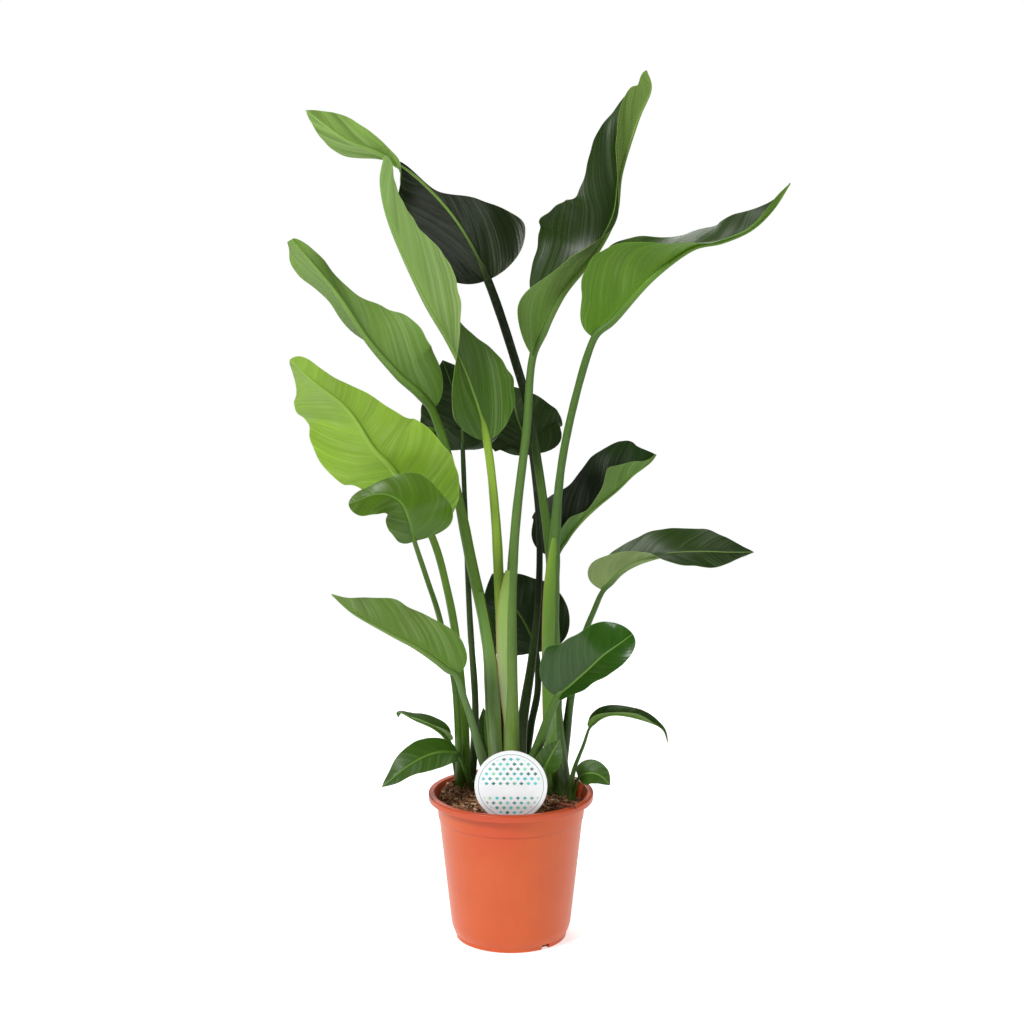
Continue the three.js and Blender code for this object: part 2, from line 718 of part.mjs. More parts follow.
function stalkGeometry(leaf) {
  const { rows, bladeFrom } = lineOf(leaf);
  const { length } = spine(rows, 0, bladeFrom, [0, 1]);
  const steps = Math.max(3, Math.ceil(length / STALK_STEP));
  const end = 1 - CLEARANCE / length;
  const shares = Array.from({ length: steps + 1 }, (_, i) => (end * i) / steps);
  const { stations } = spine(rows, 0, bladeFrom, shares);
  const radii = shares.map((share) => along(leaf.stalkRadii, share).x);
  return tube(stations, radii, STALK_SIDES);
}

function shootGeometry(name) {
  const { x, y, radius } = shoots[name];
  const top = soilHeight(x, y) + 2;
  const crown = [
    [0, CROWN_BOTTOM],
    [radius - 2, CROWN_BOTTOM],
    [radius, CROWN_BOTTOM + 3],
    [radius, top - 6],
    [radius * 0.8, top],
    [0, top + 3],
  ];
  let shoot = solid(turned(crown, CROWN_SIDES).translate(x, y, 0));
  for (const leaf of leaves) {
    if (leaf.shoot === name) shoot = shoot.add(solid(stalkGeometry(leaf)));
  }
  return geometryOf(shoot);
}

// Leaf blades
function outline(share, widestAt, tipTaper) {
  const before = (widestAt - share) / widestAt;
  const after = (share - widestAt) / (1 - widestAt);
  return before > 0 ? (1 - before ** 2.4) ** 0.5 : (1 - after ** 1.8) ** tipTaper;
}

// One row of points across the blade, from its left margin to its right
function bladeRow(leaf, station, share, across) {
  const { point, tangent } = station;
  const upper = along(leaf.upperSide, share);
  upper.addScaledVector(tangent, -upper.dot(tangent)).normalize();
  const right = tangent.clone().cross(upper);
  const fold = along(leaf.fold, share);
  const neck = NECK_SHARE * leaf.stalkRadii.at(-1) * Math.max(1 - share / NECK_LENGTH, 0);
  const shape = leaf.halfWidth * outline(share, leaf.widestAt, leaf.tipTaper);
  const spread = along(leaf.spread ?? [[1, 1]], share);
  const [waveHeight, waveCount] = leaf.wave;
  return across.map((place) => {
    const side = place > 0 ? 1 : -1;
    const out = Math.abs(place);
    const wide = shape * Math.max(place > 0 ? spread.y : spread.x, 0);
    const half = Math.max(wide, neck, TIP_HALF_WIDTH);
    const lift = THREE.MathUtils.degToRad(place > 0 ? fold.y : fold.x);
    const phase = 2 * Math.PI * waveCount * share + (place > 0 ? WAVES_OUT_OF_STEP : 0);
    const reach = Math.min(1, (2 * half) / leaf.halfWidth);
    const wave = waveHeight * out ** 2 * Math.sin(phase) * reach;
    const sideways = half * out * Math.cos(lift) - wave * Math.sin(lift);
    const upwards = half * out * Math.sin(lift) + wave * Math.cos(lift);
    const fullness = (LOBE_FULLNESS * half * out) / leaf.halfWidth;
    const lobe = share > 0 ? leaf.lobe * Math.max(1 - share / LOBE_END, 0) ** 2 : 0;
    const corner = point.clone().addScaledVector(right, side * sideways);
    corner.addScaledVector(upper, upwards).addScaledVector(tangent, -lobe * fullness ** LOBE_POWER);
    return { corner, upper };
  });
}

function bladeGeometry(leaf) {
  const { rows, bladeFrom } = lineOf(leaf);
  const { length } = spine(rows, bladeFrom, rows.length - 1, [0, 1]);
  const { steps, oneSide } = length > BIG_BLADE ? bigBladeRows : smallBladeRows;
  const across = [...oneSide.map((place) => -place).reverse(), 0, ...oneSide];
  const shares = Array.from({ length: steps + 1 }, (_, i) => {
    const even = i / steps;
    return even + END_CROWDING * ((1 - Math.cos(Math.PI * even)) / 2 - even);
  });
  const { stations } = spine(rows, bladeFrom, rows.length - 1, shares);
  const upperFace = stations.map((station, i) => bladeRow(leaf, station, shares[i], across));
  const columns = across.length;
  const middle = oneSide.length;
  const lower = upperFace.map((row, i) =>
    row.map((point, j) => {
      const ahead = upperFace[Math.min(i + 1, steps)][j].corner;
      const behind = upperFace[Math.max(i - 1, 0)][j].corner;
      const outward = row[Math.min(j + 1, columns - 1)].corner.clone();
      outward.sub(row[Math.max(j - 1, 0)].corner);
      const normal = i ? outward.cross(ahead.clone().sub(behind)).normalize() : point.upper;
      const keel = (leaf.stalkRadii.at(-1) - BLADE_THICKNESS) * (1 - shares[i]) + KEEL_END;
      const depth = BLADE_THICKNESS + (j === middle ? keel : 0);
      return point.corner.clone().addScaledVector(normal, -depth);
    }),
  );
  const count = (steps + 1) * columns;
  const faces = [];
  for (let i = 0; i < steps; i++) {
    const row = i * columns;
    const next = row + columns;
    for (let j = 0; j < columns - 1; j++) {
      quad(faces, row + j, row + j + 1, next + j + 1, next + j);
      faces.push(count + row + j, count + next + j + 1, count + row + j + 1);
      faces.push(count + row + j, count + next + j, count + next + j + 1);
    }
    const far = columns - 1;
    quad(faces, row, next, count + next, count + row);
    quad(faces, next + far, row + far, count + row + far, count + next + far);
  }
  const tip = steps * columns;
  for (let j = 0; j < columns - 1; j++) {
    quad(faces, j + 1, j, count + j, count + j + 1);
    quad(faces, tip + j, tip + j + 1, count + tip + j + 1, count + tip + j);
  }
  const corners = upperFace.flat().map((point) => point.corner);
  return closedBody([...corners, ...lower.flat()], faces);
}

function fibreGeometry() {
  const shares = [0, 0.25, 0.5, 0.75, 1];
  const { stations } = spine(fibre.path, 0, fibre.path.length - 1, shares);
  return tube(stations, shares.map(() => fibre.radius), 6);
}

// Assembly
const plant = new THREE.Group();

function place(name, geometry, color, roughness) {
  const material = new THREE.MeshStandardMaterial({ color, roughness, metalness: 0 });
  const mesh = new THREE.Mesh(geometry, material);
  mesh.name = name;
  plant.add(mesh);
}

place("pot", potGeometry(), potOrange, 0.45);
place("soil", soilGeometry(), soilBrown, 0.95);
place("root_fibre", fibreGeometry(), fibreBrown, 0.9);
place("plant_label", labelGeometry(), labelWhite, 0.4);
for (const name of Object.keys(shoots)) {
  place(`stalks_${name}`, shootGeometry(name), stalkGreen, 0.5);
}
for (const leaf of leaves) {
  place(leaf.name, bladeGeometry(leaf), leaf.colour, 0.45);
}

export default plant;
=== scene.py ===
"""A bird of paradise in its round nursery pot, dressed for its studio picture.

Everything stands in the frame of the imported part: metres, +Z up, -Y the front, and the origin in
the middle of the pot's underside. The tables below are in millimetres, as a grower measures.
"""

import math
import random

import bmesh
import bpy
import numpy as np
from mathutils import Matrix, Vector


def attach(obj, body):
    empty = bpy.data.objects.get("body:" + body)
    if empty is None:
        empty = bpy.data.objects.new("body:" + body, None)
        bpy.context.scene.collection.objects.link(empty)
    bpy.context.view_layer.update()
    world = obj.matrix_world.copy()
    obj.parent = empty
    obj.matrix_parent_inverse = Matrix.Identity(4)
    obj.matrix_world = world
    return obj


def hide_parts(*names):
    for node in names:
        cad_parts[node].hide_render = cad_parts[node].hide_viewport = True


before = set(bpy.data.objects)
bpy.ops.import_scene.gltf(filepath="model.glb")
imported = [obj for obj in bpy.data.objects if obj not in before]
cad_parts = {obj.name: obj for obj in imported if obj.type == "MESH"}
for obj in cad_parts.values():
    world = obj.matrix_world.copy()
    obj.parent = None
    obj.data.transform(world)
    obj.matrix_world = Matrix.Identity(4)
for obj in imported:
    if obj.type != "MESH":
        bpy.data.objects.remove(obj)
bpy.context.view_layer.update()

MM = 0.001

# Pot
POT_HEIGHT = 190
RIM_RADIUS = 105
RIM_BAND = 9
RIM_FLARE = 4
WALL = 1.6
WALL_TOP_RADIUS = 95
WALL_FOOT_RADIUS = 75
FOOT_RADIUS = 71
FOOT_HEIGHT = 7.5
STEP_HEIGHT = 157
STEP_OUT = 1
FLOOR_THICKNESS = 2
NOTCH = dict(width=12, height=6, depth=14, count=3, first=-52)
DRAIN = dict(radius=5, ring=46, count=6)
POT_SIDES = 180

# Soil
SOIL_EDGE = 173
SOIL_CROWN = 184
SOIL_DOME = 1.8
SOIL_CLEARANCE = 0.3
CROWN_BOTTOM = 140
CHIP_COUNT = 2300
STRAW_COUNT = 330
# Place, height and reach of each heap or hollow
HEAPS = (
    (-70, 34, 16, 30), (-84, -8, 9, 22), (-30, 74, 8, 24), (-50, -52, 4, 22), (48, -48, 5, 20),
    (74, 44, -3, 24),
)

# Label
LABEL_CENTRE = (0, -80, 221)
LABEL_RADIUS = 45
LABEL_THICKNESS = 1.2
STAKE_WIDTH = 12
STAKE_THICKNESS = 1
STAKE_BOTTOM = 118

# Root fibre that lies over the soil and the rim
FIBRE_PATH = ((50, -46, 186), (60, -57, 191), (69, -66, 192.4), (77, -72, 192.4), (83, -77, 189))
FIBRE_RADIUS = 2

# Where each shoot stands: x, y and the radius of its foot
SHOOTS = {
    "left": (-58, 28, 18),
    "centre": (-9, 5, 30),
    "back": (11, 51, 19),
    "right": (55, 28, 24),
    "far_right": (76, 2, 8.5),
}

# stalk and midrib are the line of a leaf from the soil to its tip, upper is where its upper face
# looks, fold is how many degrees its left and right halves are lifted towards that side, and spread
# is how wide each half is against the leaf's outline. half is half the width of the blade, widest
# the share of its length where it is widest, taper how fast it narrows to its tip, lobe how far its
# foot runs back past the stalk, and wave how high and how many the waves of its margin are. USUAL is
# what most blades share.
USUAL = dict(widest=0.36, taper=0.9, lobe=10, wave=(3, 3))
LEAVES = {
    "leaf_01": dict(
        USUAL, shoot="right",
        stalk=(
            (53, 30, 175), (58, 40, 298), (54, 45, 415), (47, 55, 509), (25, 65, 656),
            (4, 65, 736),
        ),
        radii=(9, 7, 6, 5.5, 5.5),
        midrib=(
            (-29, 55, 834), (-63, 50, 901), (-103, 30, 949), (-151, 0, 987), (-197, -30, 1007),
            (-241, -60, 1040),
        ),
        upper=(
            (0, -1, 0.1), (0.3, -0.95, 0.4), (0.45, -0.85, 0.25), (0.5, -0.85, 0.1),
            (0.3, 0.7, 0.6), (0.15, 0.95, 0.3), (0.1, 1, 0.1),
        ),
        fold=((10, 0), (0, 4), (-6, 5), (0, -30), (10, 10), (30, 25), (20, 20)),
        spread=(
            (0.8, 0.95), (0.95, 1.14), (1.02, 0.66), (1.05, 0.12), (0.75, 0.1), (0.3, 0.36),
            (0.6, 1), (1, 1.05), (1, 1),
        ),
        half=66, widest=0.2, taper=0.85, lobe=4, wave=(2, 2.5),
    ),
    "leaf_02": dict(
        USUAL, shoot="centre",
        stalk=((-4, 10, 174), (-8, 5, 308), (-14, 0, 438), (-19, 0, 540)),
        radii=(10, 8, 7, 6, 5),
        midrib=(
            (-30, -5, 641), (-51, -15, 714), (-74, -20, 766), (-105, -28, 822), (-142, -30, 902),
            (-155, -28, 953), (-151, -25, 988),
        ),
        upper=(
            (0.1, -1, 0.1), (0.2, -0.95, 0.2), (0.5, -0.85, 0.3), (1, -0.25, 0.3), (1, -0.2, 0.3),
            (1, -0.2, 0.3), (1, -0.2, 0.3),
        ),
        fold=((10, 0), (40, 5), (65, 10), (80, 50), (80, 50), (75, 45), (60, 40)),
        spread=(
            (0.58, 0.8), (0.95, 1.1), (0.95, 0.95), (0.74, 0.5), (1.04, 0.5), (1.2, 0.6),
            (0.88, 0.6), (0.98, 0.7), (1.6, 1),
        ),
        half=48, widest=0.2, taper=0.5, lobe=2, wave=(3, 3),
    ),
    "leaf_03": dict(
        USUAL, shoot="centre",
        stalk=((1, -5, 179), (0, -12, 312), (0, -15, 441), (6, -15, 543), (19, -15, 655)),
        radii=(12, 10, 8, 6.5, 5.5, 5),
        midrib=(
            (27, -15, 747), (56, -10, 817), (99, 0, 870), (124, 10, 916), (132, 15, 967),
            (153, 20, 1030), (169, 25, 1066), (164, 25, 1089),
        ),
        upper=(
            (-0.8, -0.3, 0.5), (-0.8, -0.3, 0.4), (-0.8, -0.15, 0.3), (-0.9, -0.1, 0.2),
            (-0.9, -0.1, 0),
        ),
        fold=(
            (20, 30), (35, 65), (30, 60), (45, 25), (80, 0), (80, 5), (75, 45), (65, 75), (60, 75),
        ),
        spread=(
            (0.5, 0.85), (0.5, 1.1), (1.12, 0.64), (1.42, 0.7), (1.12, 0.4), (0.85, 0.32),
            (1, 0.62), (1, 1), (1.3, 1.3),
        ),
        half=58, widest=0.3, taper=0.6,
    ),
    "leaf_04": dict(
        USUAL, shoot="right",
        stalk=(
            (66, 25, 174), (58, 25, 249), (51, 25, 329), (51, 20, 434), (55, 5, 526),
            (63, -10, 617), (81, -20, 705),
        ),
        radii=(12, 11.5, 11, 9.5, 6, 5.3, 5),
        midrib=(
            (101, -30, 770), (126, -35, 800), (166, -50, 845), (213, -60, 880), (250, -70, 889),
            (282, -80, 903), (306, -90, 926), (326, -95, 956),
        ),
        upper=(
            (-0.7, -0.1, 0.7), (-0.6, -0.1, 0.8), (-0.4, -0.1, 0.9), (-0.3, -0.2, 0.8),
            (-0.3, 0.2, 0.9),
        ),
        fold=((70, 88), (55, 75), (15, 25), (55, 15), (50, 60)),
        spread=(
            (0.62, 0.62), (1, 1), (1.3, 1.3), (1.28, 1.4), (1.08, 1.2), (0.8, 0.9), (0.95, 0.9),
            (1, 1), (1, 1),
        ),
        half=54, widest=0.18, taper=1.1,
    ),
    "leaf_05": dict(
        USUAL, shoot="centre",
        stalk=((-13, 19, 171), (-22, 12, 280), (-29, 8, 385), (-50, 0, 489), (-68, -5, 579)),
        radii=(11, 10, 8, 6.5, 5.5),
        midrib=(
            (-97, -15, 681), (-138, -25, 726), (-174, -40, 770), (-207, -55, 823),
            (-241, -70, 868), (-259, -75, 890),
        ),
        upper=((0.3, 0.9, 0.3), (0.2, 0.9, 0.2), (0, 0.9, 0), (0.1, 0.8, 0.2)),
        fold=((15, 60), (15, 62), (55, 62), (45, 50)),
        spread=(
            (0.6, 1), (1, 1), (1.05, 1), (1.05, 0.8), (0.8, 0.7), (0.5, 0.85), (0.5, 1.15),
            (0.42, 1.5), (0.35, 1.8),
        ),
        half=54, taper=0.4,
    ),
    "leaf_06": dict(
        USUAL, shoot="left",
        stalk=((-58, 30, 186), (-60, 20, 277), (-67, 0, 374), (-79, -25, 456)),
        radii=(7, 6, 5, 4.5),
        midrib=(
            (-98, -45, 530), (-139, -65, 609), (-166, -75, 642), (-194, -85, 688),
            (-232, -95, 722), (-262, -90, 749),
        ),
        upper=((0.1, 0.95, 0.2), (0.1, 0.95, 0.2), (0, 0.95, 0), (0.1, 0.8, 0.3)),
        fold=((8, 8), (8, 12), (12, 50), (20, 45)),
        spread=(
            (0.8, 0.7), (1, 0.6), (1.04, 0.68), (0.95, 1), (0.85, 1.3), (0.6, 1.65), (0.42, 1.8),
            (0.45, 1.9), (0.7, 2.2),
        ),
        half=68, taper=0.5,
    ),
    "leaf_07": dict(
        USUAL, shoot="left",
        stalk=((-65, 20, 187), (-70, -10, 325), (-88, -32, 420), (-102, -62, 476)),
        radii=(6, 4.5, 3.5, 3),
        midrib=(
            (-116, -95, 531), (-122, -108, 561), (-133, -112, 583), (-158, -110, 591),
            (-194, -100, 577),
        ),
        upper=((0, -1, 0.2), (0, -1, 0.4), (-0.1, -0.8, 0.6), (-0.1, -0.7, 0.7)),
        fold=((20, 5), (20, 5), (20, 10), (10, 20)),
        spread=(
            (0.5, 0.75), (0.45, 0.92), (0.52, 0.96), (0.5, 0.88), (0.5, 0.7), (0.75, 0.45),
            (0.9, 0.3), (1, 0.4), (1, 0.5),
        ),
        half=56, widest=0.26, taper=0.6, lobe=3, wave=(2, 2),
    ),
    "leaf_08": dict(
        USUAL, shoot="left",
        stalk=((-53, 37, 178), (-48, 42, 230), (-46, 46, 296), (-53, 48, 412)),
        radii=(6, 4.5, 3.5, 3),
        midrib=((-61, 58, 620), (-62, 62, 651), (-71, 65, 689), (-86, 62, 733)),
        upper=((0, -1, 0.1), (0, -1, 0.2), (0, -1, 0.4)),
        fold=((15, 15), (20, 20), (30, 30)),
        half=54,
    ),
    "leaf_09": dict(
        USUAL, shoot="back",
        stalk=((13, 41, 173), (14, 40, 259), (27, 50, 349), (35, 60, 425), (36, 75, 514)),
        radii=(8, 7, 5, 4, 3),
        midrib=((26, 90, 609), (18, 100, 629), (9, 112, 651), (3, 125, 673), (-3, 138, 692)),
        upper=((0.3, -1, 0.3), (0.3, -1, 0.4), (0.3, -1, 0.6)),
        fold=((12, 8), (15, 12), (25, 20)),
        half=55, lobe=6, wave=(2.5, 2),
    ),
    "leaf_10": dict(
        USUAL, shoot="right",
        stalk=((56, 44, 174), (61, 72, 292), (57, 97, 395)),
        radii=(7, 5.5, 4, 3.5),
        midrib=(
            (59, 110, 471), (70, 113, 496), (88, 118, 518), (111, 125, 538), (137, 133, 557),
            (158, 141, 575), (173, 149, 584), (184, 157, 591), (191, 165, 598),
        ),
        upper=(
            (-0.7, -0.4, 0.5), (-0.7, -0.35, 0.55), (-0.7, -0.3, 0.6), (-0.6, -0.15, 0.7),
            (-0.6, -0.2, 0.75),
        ),
        fold=((60, 55), (60, 55), (62, 60), (66, 60), (66, 60)),
        spread=(
            (0.98, 0.5), (1.04, 0.55), (0.9, 0.42), (0.74, 0.1), (0.84, 0.36), (1.02, 0.82),
            (1.08, 0.5), (1.25, 0.25), (1.2, 0.2),
        ),
        half=58, taper=0.45, lobe=2, wave=(1.5, 3),
    ),
    "leaf_11": dict(
        USUAL, shoot="right",
        stalk=((62, 38, 178), (70, 40, 245), (78, 35, 313), (91, 25, 381), (106, 18, 424)),
        radii=(8, 6, 4.5, 3.5),
        midrib=(
            (116, 12, 448), (134, 5, 473), (161, 0, 489), (198, -10, 500), (235, -15, 503),
            (271, -20, 503), (300, -25, 504),
        ),
        upper=((-0.5, 0.1, 0.9), (-0.3, 0, 1), (-0.1, -0.4, 0.9), (0, -0.7, 0.7), (0, -0.7, 0.7)),
        fold=((30, 62), (70, 50), (30, 25), (5, 10), (15, 15)),
        spread=(
            (0.8, 1.1), (0.75, 1.1), (0.66, 0.7), (0.72, 0.45), (0.88, 0.9), (1, 1.1),
            (1.08, 1.05), (1, 1), (1, 1),
        ),
        half=42,
    ),
    "leaf_12": dict(
        USUAL, shoot="centre",
        stalk=((7, -2, 178), (22, -14, 222), (36, -28, 262), (48, -40, 300)),
        radii=(9, 7, 5),
        midrib=(
            (58, -50, 326), (75, -60, 345), (94, -72, 366), (113, -82, 387), (133, -86, 403),
            (148, -84, 414),
        ),
        upper=((-0.2, -1, 0.4), (-0.2, -1, 0.4), (-0.1, -1, 0.5), (0.1, -0.8, 0.6)),
        fold=((10, 30), (10, 35), (10, 30), (15, 20)),
        spread=(
            (0.9, 0.4), (1.22, 0.35), (1.2, 0.4), (1.08, 0.5), (1, 0.6), (0.98, 0.75),
            (1.05, 0.85), (1.2, 0.9), (1.2, 1),
        ),
        half=46, taper=0.5, lobe=24, wave=(1.5, 2),
    ),
    "leaf_13": dict(
        USUAL, shoot="centre",
        stalk=((-19, -1, 180), (-27, -9, 210), (-37, -30, 246), (-50, -50, 300), (-60, -65, 336)),
        radii=(8, 7, 5, 4),
        midrib=(
            (-67, -75, 360), (-85, -81, 379), (-115, -90, 402), (-151, -98, 423),
            (-189, -106, 446), (-215, -110, 469),
        ),
        upper=((0.5, 0.2, 0.9), (0.4, 0.2, 0.9), (0.3, 0.2, 0.9), (0.1, 0.2, 1)),
        fold=((85, 70), (85, 60), (80, 50), (50, 30)),
        spread=(
            (1, 1), (1, 1), (0.92, 0.95), (0.85, 0.95), (0.9, 1), (1.05, 1.1), (1, 1), (1, 1),
            (1, 1),
        ),
        half=44,
    ),
    "leaf_14": dict(
        USUAL, shoot="left",
        stalk=((-52, 18, 185), (-57, 0, 217)),
        radii=(5, 4, 3),
        midrib=((-68, -15, 243), (-96, -35, 250), (-127, -55, 240), (-160, -65, 215)),
        upper=((0, -0.6, 0.8), (0, -0.6, 0.8), (-0.2, -0.6, 0.8)),
        fold=((5, 5), (5, 5), (10, 10)),
        half=25, lobe=4, wave=(1, 2),
    ),
    "leaf_15": dict(
        USUAL, shoot="left",
        stalk=((-68, 25, 186), (-72, 20, 218)),
        radii=(4, 3, 2.5),
        midrib=(
            (-79, 10, 254), (-95, 5, 272), (-121, -5, 286), (-139, -10, 296), (-142, -15, 291),
        ),
        upper=((0.2, -0.1, 1), (0, -0.1, 1), (-0.3, 0, 0.9)),
        fold=((30, 30), (20, 20), (10, 10)),
        half=20, lobe=4, wave=(1, 2),
    ),
    "leaf_16": dict(
        USUAL, shoot="far_right",
        stalk=((75, 3, 182), (80, 5, 215), (92, 8, 247)),
        radii=(6, 3, 1.8),
        midrib=(
            (100, 5, 272), (113, 0, 287), (133, -5, 293), (163, -10, 288), (190, -15, 277),
            (198, -18, 259),
        ),
        upper=((-0.4, -0.1, 0.9), (0, -0.1, 1), (0.3, -0.1, 0.9)),
        fold=((40, 40), (30, 30), (20, 20)),
        half=14, lobe=3, wave=(1, 2),
    ),
    "leaf_17": dict(
        USUAL, shoot="far_right",
        stalk=((80, 1, 182), (83, -2, 200)),
        radii=(3, 2),
        midrib=((86, -3, 209), (100, -8, 216), (114, -12, 213), (125, -15, 202)),
        upper=((0, -0.8, 0.6), (0, -0.8, 0.6)),
        fold=((10, 10), (10, 10)),
        half=17, lobe=3, wave=(1, 2),
    ),
    "leaf_18": dict(
        USUAL, shoot="back",
        stalk=((14, 55, 172), (25, 80, 247), (35, 100, 296)),
        radii=(7, 5, 4),
        midrib=((33, 115, 343), (20, 125, 376), (-3, 140, 410), (-25, 150, 441)),
        upper=((0, -1, 0.2), (0, -1, 0.3), (0, -1, 0.5)),
        fold=((10, 10), (15, 15), (20, 20)),
        half=62,
    ),
    "leaf_19": dict(
        USUAL, shoot="right",
        stalk=((50, 18, 178), (46, -10, 195), (44, -27, 208)),
        radii=(5, 4),
        midrib=((41, -33, 226), (49, -38, 246), (61, -35, 267)),
        upper=((0, -1, 0.2), (0, -1, 0.3)),
        fold=((20, 20), (20, 20)),
        half=17, lobe=0, wave=(0, 2),
    ),
    "leaf_20": dict(
        USUAL, shoot="back",
        stalk=((4, 50, 172), (-7, 55, 190), (-18, 59, 204)),
        radii=(5, 4),
        midrib=((-27, 63, 212), (-33, 70, 239), (-36, 75, 278)),
        upper=((0.3, -1, 0.2), (0.3, -1, 0.3)),
        fold=((30, 30), (20, 20)),
        half=16, lobe=2, wave=(0, 2),
    ),
}


# ---------------------------------------------------------------- lines and fields

def unit(vectors):
    return vectors / np.maximum(np.linalg.norm(vectors, axis=-1, keepdims=True), 1e-9)


def smooth(low, high, value):
    """0 below low, 1 above high, and an even S between."""
    share = np.clip((np.asarray(value, float) - low) / (high - low), 0, 1)
    return share * share * (3 - 2 * share)


def catmull(points, shares):
    """Places on the smooth line through evenly counted points."""
    points = np.asarray(points, float)
    if len(points) == 1:
        return np.repeat(points, len(shares), 0)
    line = np.vstack([2 * points[0] - points[1], points, 2 * points[-1] - points[-2]])
    at = np.clip(shares, 0, 1) * (len(points) - 1)
    first = np.minimum(at.astype(int), len(points) - 2)
    t = (at - first)[:, None]
    a, b, c, d = (line[first + k] for k in range(4))
    return 0.5 * (2 * b + (c - a) * t + (2 * a - 5 * b + 4 * c - d) * t**2 + (3 * b - a - 3 * c + d) * t**3)


def follow(line, start, end, shares):
    """Points and directions at shares of the length between two points of a line, and that length."""
    last = len(line) - 1
    fine = np.linspace(start, end, 401)
    steps = np.linalg.norm(np.diff(catmull(line, fine / last), axis=0), axis=1)
    reached = np.concatenate([[0], np.cumsum(steps)])
    at = np.interp(np.asarray(shares) * reached[-1], reached, fine) / last
    ahead = catmull(line, np.minimum(at + 1e-4, 1))
    behind = catmull(line, np.maximum(at - 1e-4, 0))
    return catmull(line, at), unit(ahead - behind), reached[-1]


def ripple(x, y, seed):
    """An irregular smooth field, mostly between -1 and 1, whose swells are about 6 long."""
    draw = random.Random(seed)
    waves = 7
    total = 0
    for _ in range(waves):
        turn = draw.uniform(0, 2 * math.pi)
        pace = draw.uniform(0.6, 1.7)
        phase = draw.uniform(0, 2 * math.pi)
        total = total + np.sin(pace * (x * math.cos(turn) + y * math.sin(turn)) + phase)
    return total / math.sqrt(waves)


def wall_radius(height):
    share = (height - FOOT_HEIGHT) / (POT_HEIGHT - RIM_BAND - FOOT_HEIGHT)
    taper = WALL_FOOT_RADIUS + (WALL_TOP_RADIUS - STEP_OUT - WALL_FOOT_RADIUS) * share
    return taper + (STEP_OUT if height > STEP_HEIGHT else 0)


def soil_height(x, y):
    share = np.minimum(np.hypot(x, y) / wall_radius(SOIL_EDGE), 1)
    height = SOIL_CROWN + (SOIL_EDGE - SOIL_CROWN) * share**SOIL_DOME
    for heap_x, heap_y, rise, reach in HEAPS:
        height = height + rise * np.exp(-(((x - heap_x) ** 2 + (y - heap_y) ** 2) / reach**2))
    return height + 0.8 * np.sin(x / 6) * np.cos(y / 7)


# ---------------------------------------------------------------- meshes

UP = np.array([0.0, 0.0, 1.0])
CHANNEL_WIDTH = 0.5


class Body:
    """Points, faces, finishes and texture places of one piece, gathered part by part."""

    def __init__(self):
        self.points = []
        self.blocks = []
        self.count = 0

    def faces(self, index, grain, place, finish):
        self.blocks.append((index, grain, place, finish))

    def grid(self, points, grain, place, finish):
        """Rows of points, each a closed ring, joined by quads and closed at both ends.

        grain and place have one column more than points, so that they can end where a ring closes."""
        rows, columns = points.shape[:2]
        index = np.arange(rows * columns).reshape(rows, columns)
        index = np.hstack([index, index[:, :1]])
        finish = np.broadcast_to(finish, (rows - 1, columns))

        def corners(field):
            four = (field[:-1, :-1], field[:-1, 1:], field[1:, 1:], field[1:, :-1])
            return np.stack(four, 2).reshape((rows - 1) * columns, 4, *field.shape[2:])

        quads = corners(index)
        flat = points.reshape(-1, 3)
        a, b, c, d = (flat[quads[:, k]] for k in range(4))
        centre = flat.mean(0)
        volume = np.einsum("ij,ij->", np.cross(c - a, d - b), (a + b + c + d) / 4 - centre)
        turn = slice(None) if volume > 0 else slice(None, None, -1)
        index = index + self.count
        self.faces(
            (quads + self.count)[:, turn], corners(grain)[:, turn], corners(place)[:, turn],
            finish.ravel(),
        )
        for row, way in ((0, -1), (-1, 1)):
            ring = slice(None, None, way if volume > 0 else -way)
            self.faces(
                index[row, :-1][None, ring], grain[row, :-1][None, ring],
                place[row, :-1][None, ring], finish[row, :1],
            )
        self.points.append(flat)
        self.count += len(flat)

    def chunk(self, points, quads, grain, place, finish):
        """A closed lump with the same grain and place all over."""
        shape = (*quads.shape, 2)
        self.faces(
            quads + self.count, np.broadcast_to(grain, shape), np.broadcast_to(place, shape),
            np.full(len(quads), finish),
        )
        self.points.append(points)
        self.count += len(points)

    def mesh(self, name, materials, crease):
        """The mesh of this body. Faces that meet at more than crease degrees keep a sharp edge."""
        made = bpy.data.meshes.new(name)
        corners = np.concatenate([index.ravel() for index, *_ in self.blocks])
        sizes = np.concatenate([np.full(len(index), index.shape[1]) for index, *_ in self.blocks])
        starts = np.concatenate([[0], np.cumsum(sizes)[:-1]])
        finishes = np.concatenate([finish for *_, finish in self.blocks])
        made.vertices.add(self.count)
        made.vertices.foreach_set("co", (np.vstack(self.points) * MM).astype(np.float32).ravel())
        made.loops.add(len(corners))
        made.loops.foreach_set("vertex_index", corners.astype(np.int32))
        made.polygons.add(len(sizes))
        made.polygons.foreach_set("loop_start", starts.astype(np.int32))
        made.polygons.foreach_set("material_index", finishes.astype(np.int32))
        made.polygons.foreach_set("use_smooth", np.ones(len(sizes), bool))
        for number, layer in ((1, "grain"), (2, "place")):
            values = np.concatenate([block[number].reshape(-1, 2) for block in self.blocks])
            made.uv_layers.new(name=layer).data.foreach_set("uv", values.astype(np.float32).ravel())
        made.update(calc_edges=True)
        made.validate()
        made.set_sharp_from_angle(angle=math.radians(crease))
        for material in materials:
            made.materials.append(material)
        return made


def piece(name, body, materials, crease, slot, *nodes):
    """Puts a body in the scene as one piece of the plant, in place of its plain nodes."""
    made = bpy.data.objects.new(name, body.mesh(name, materials, crease))
    bpy.context.scene.collection.objects.link(made)
    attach(made, "root")
    if nodes:
        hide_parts(*nodes)


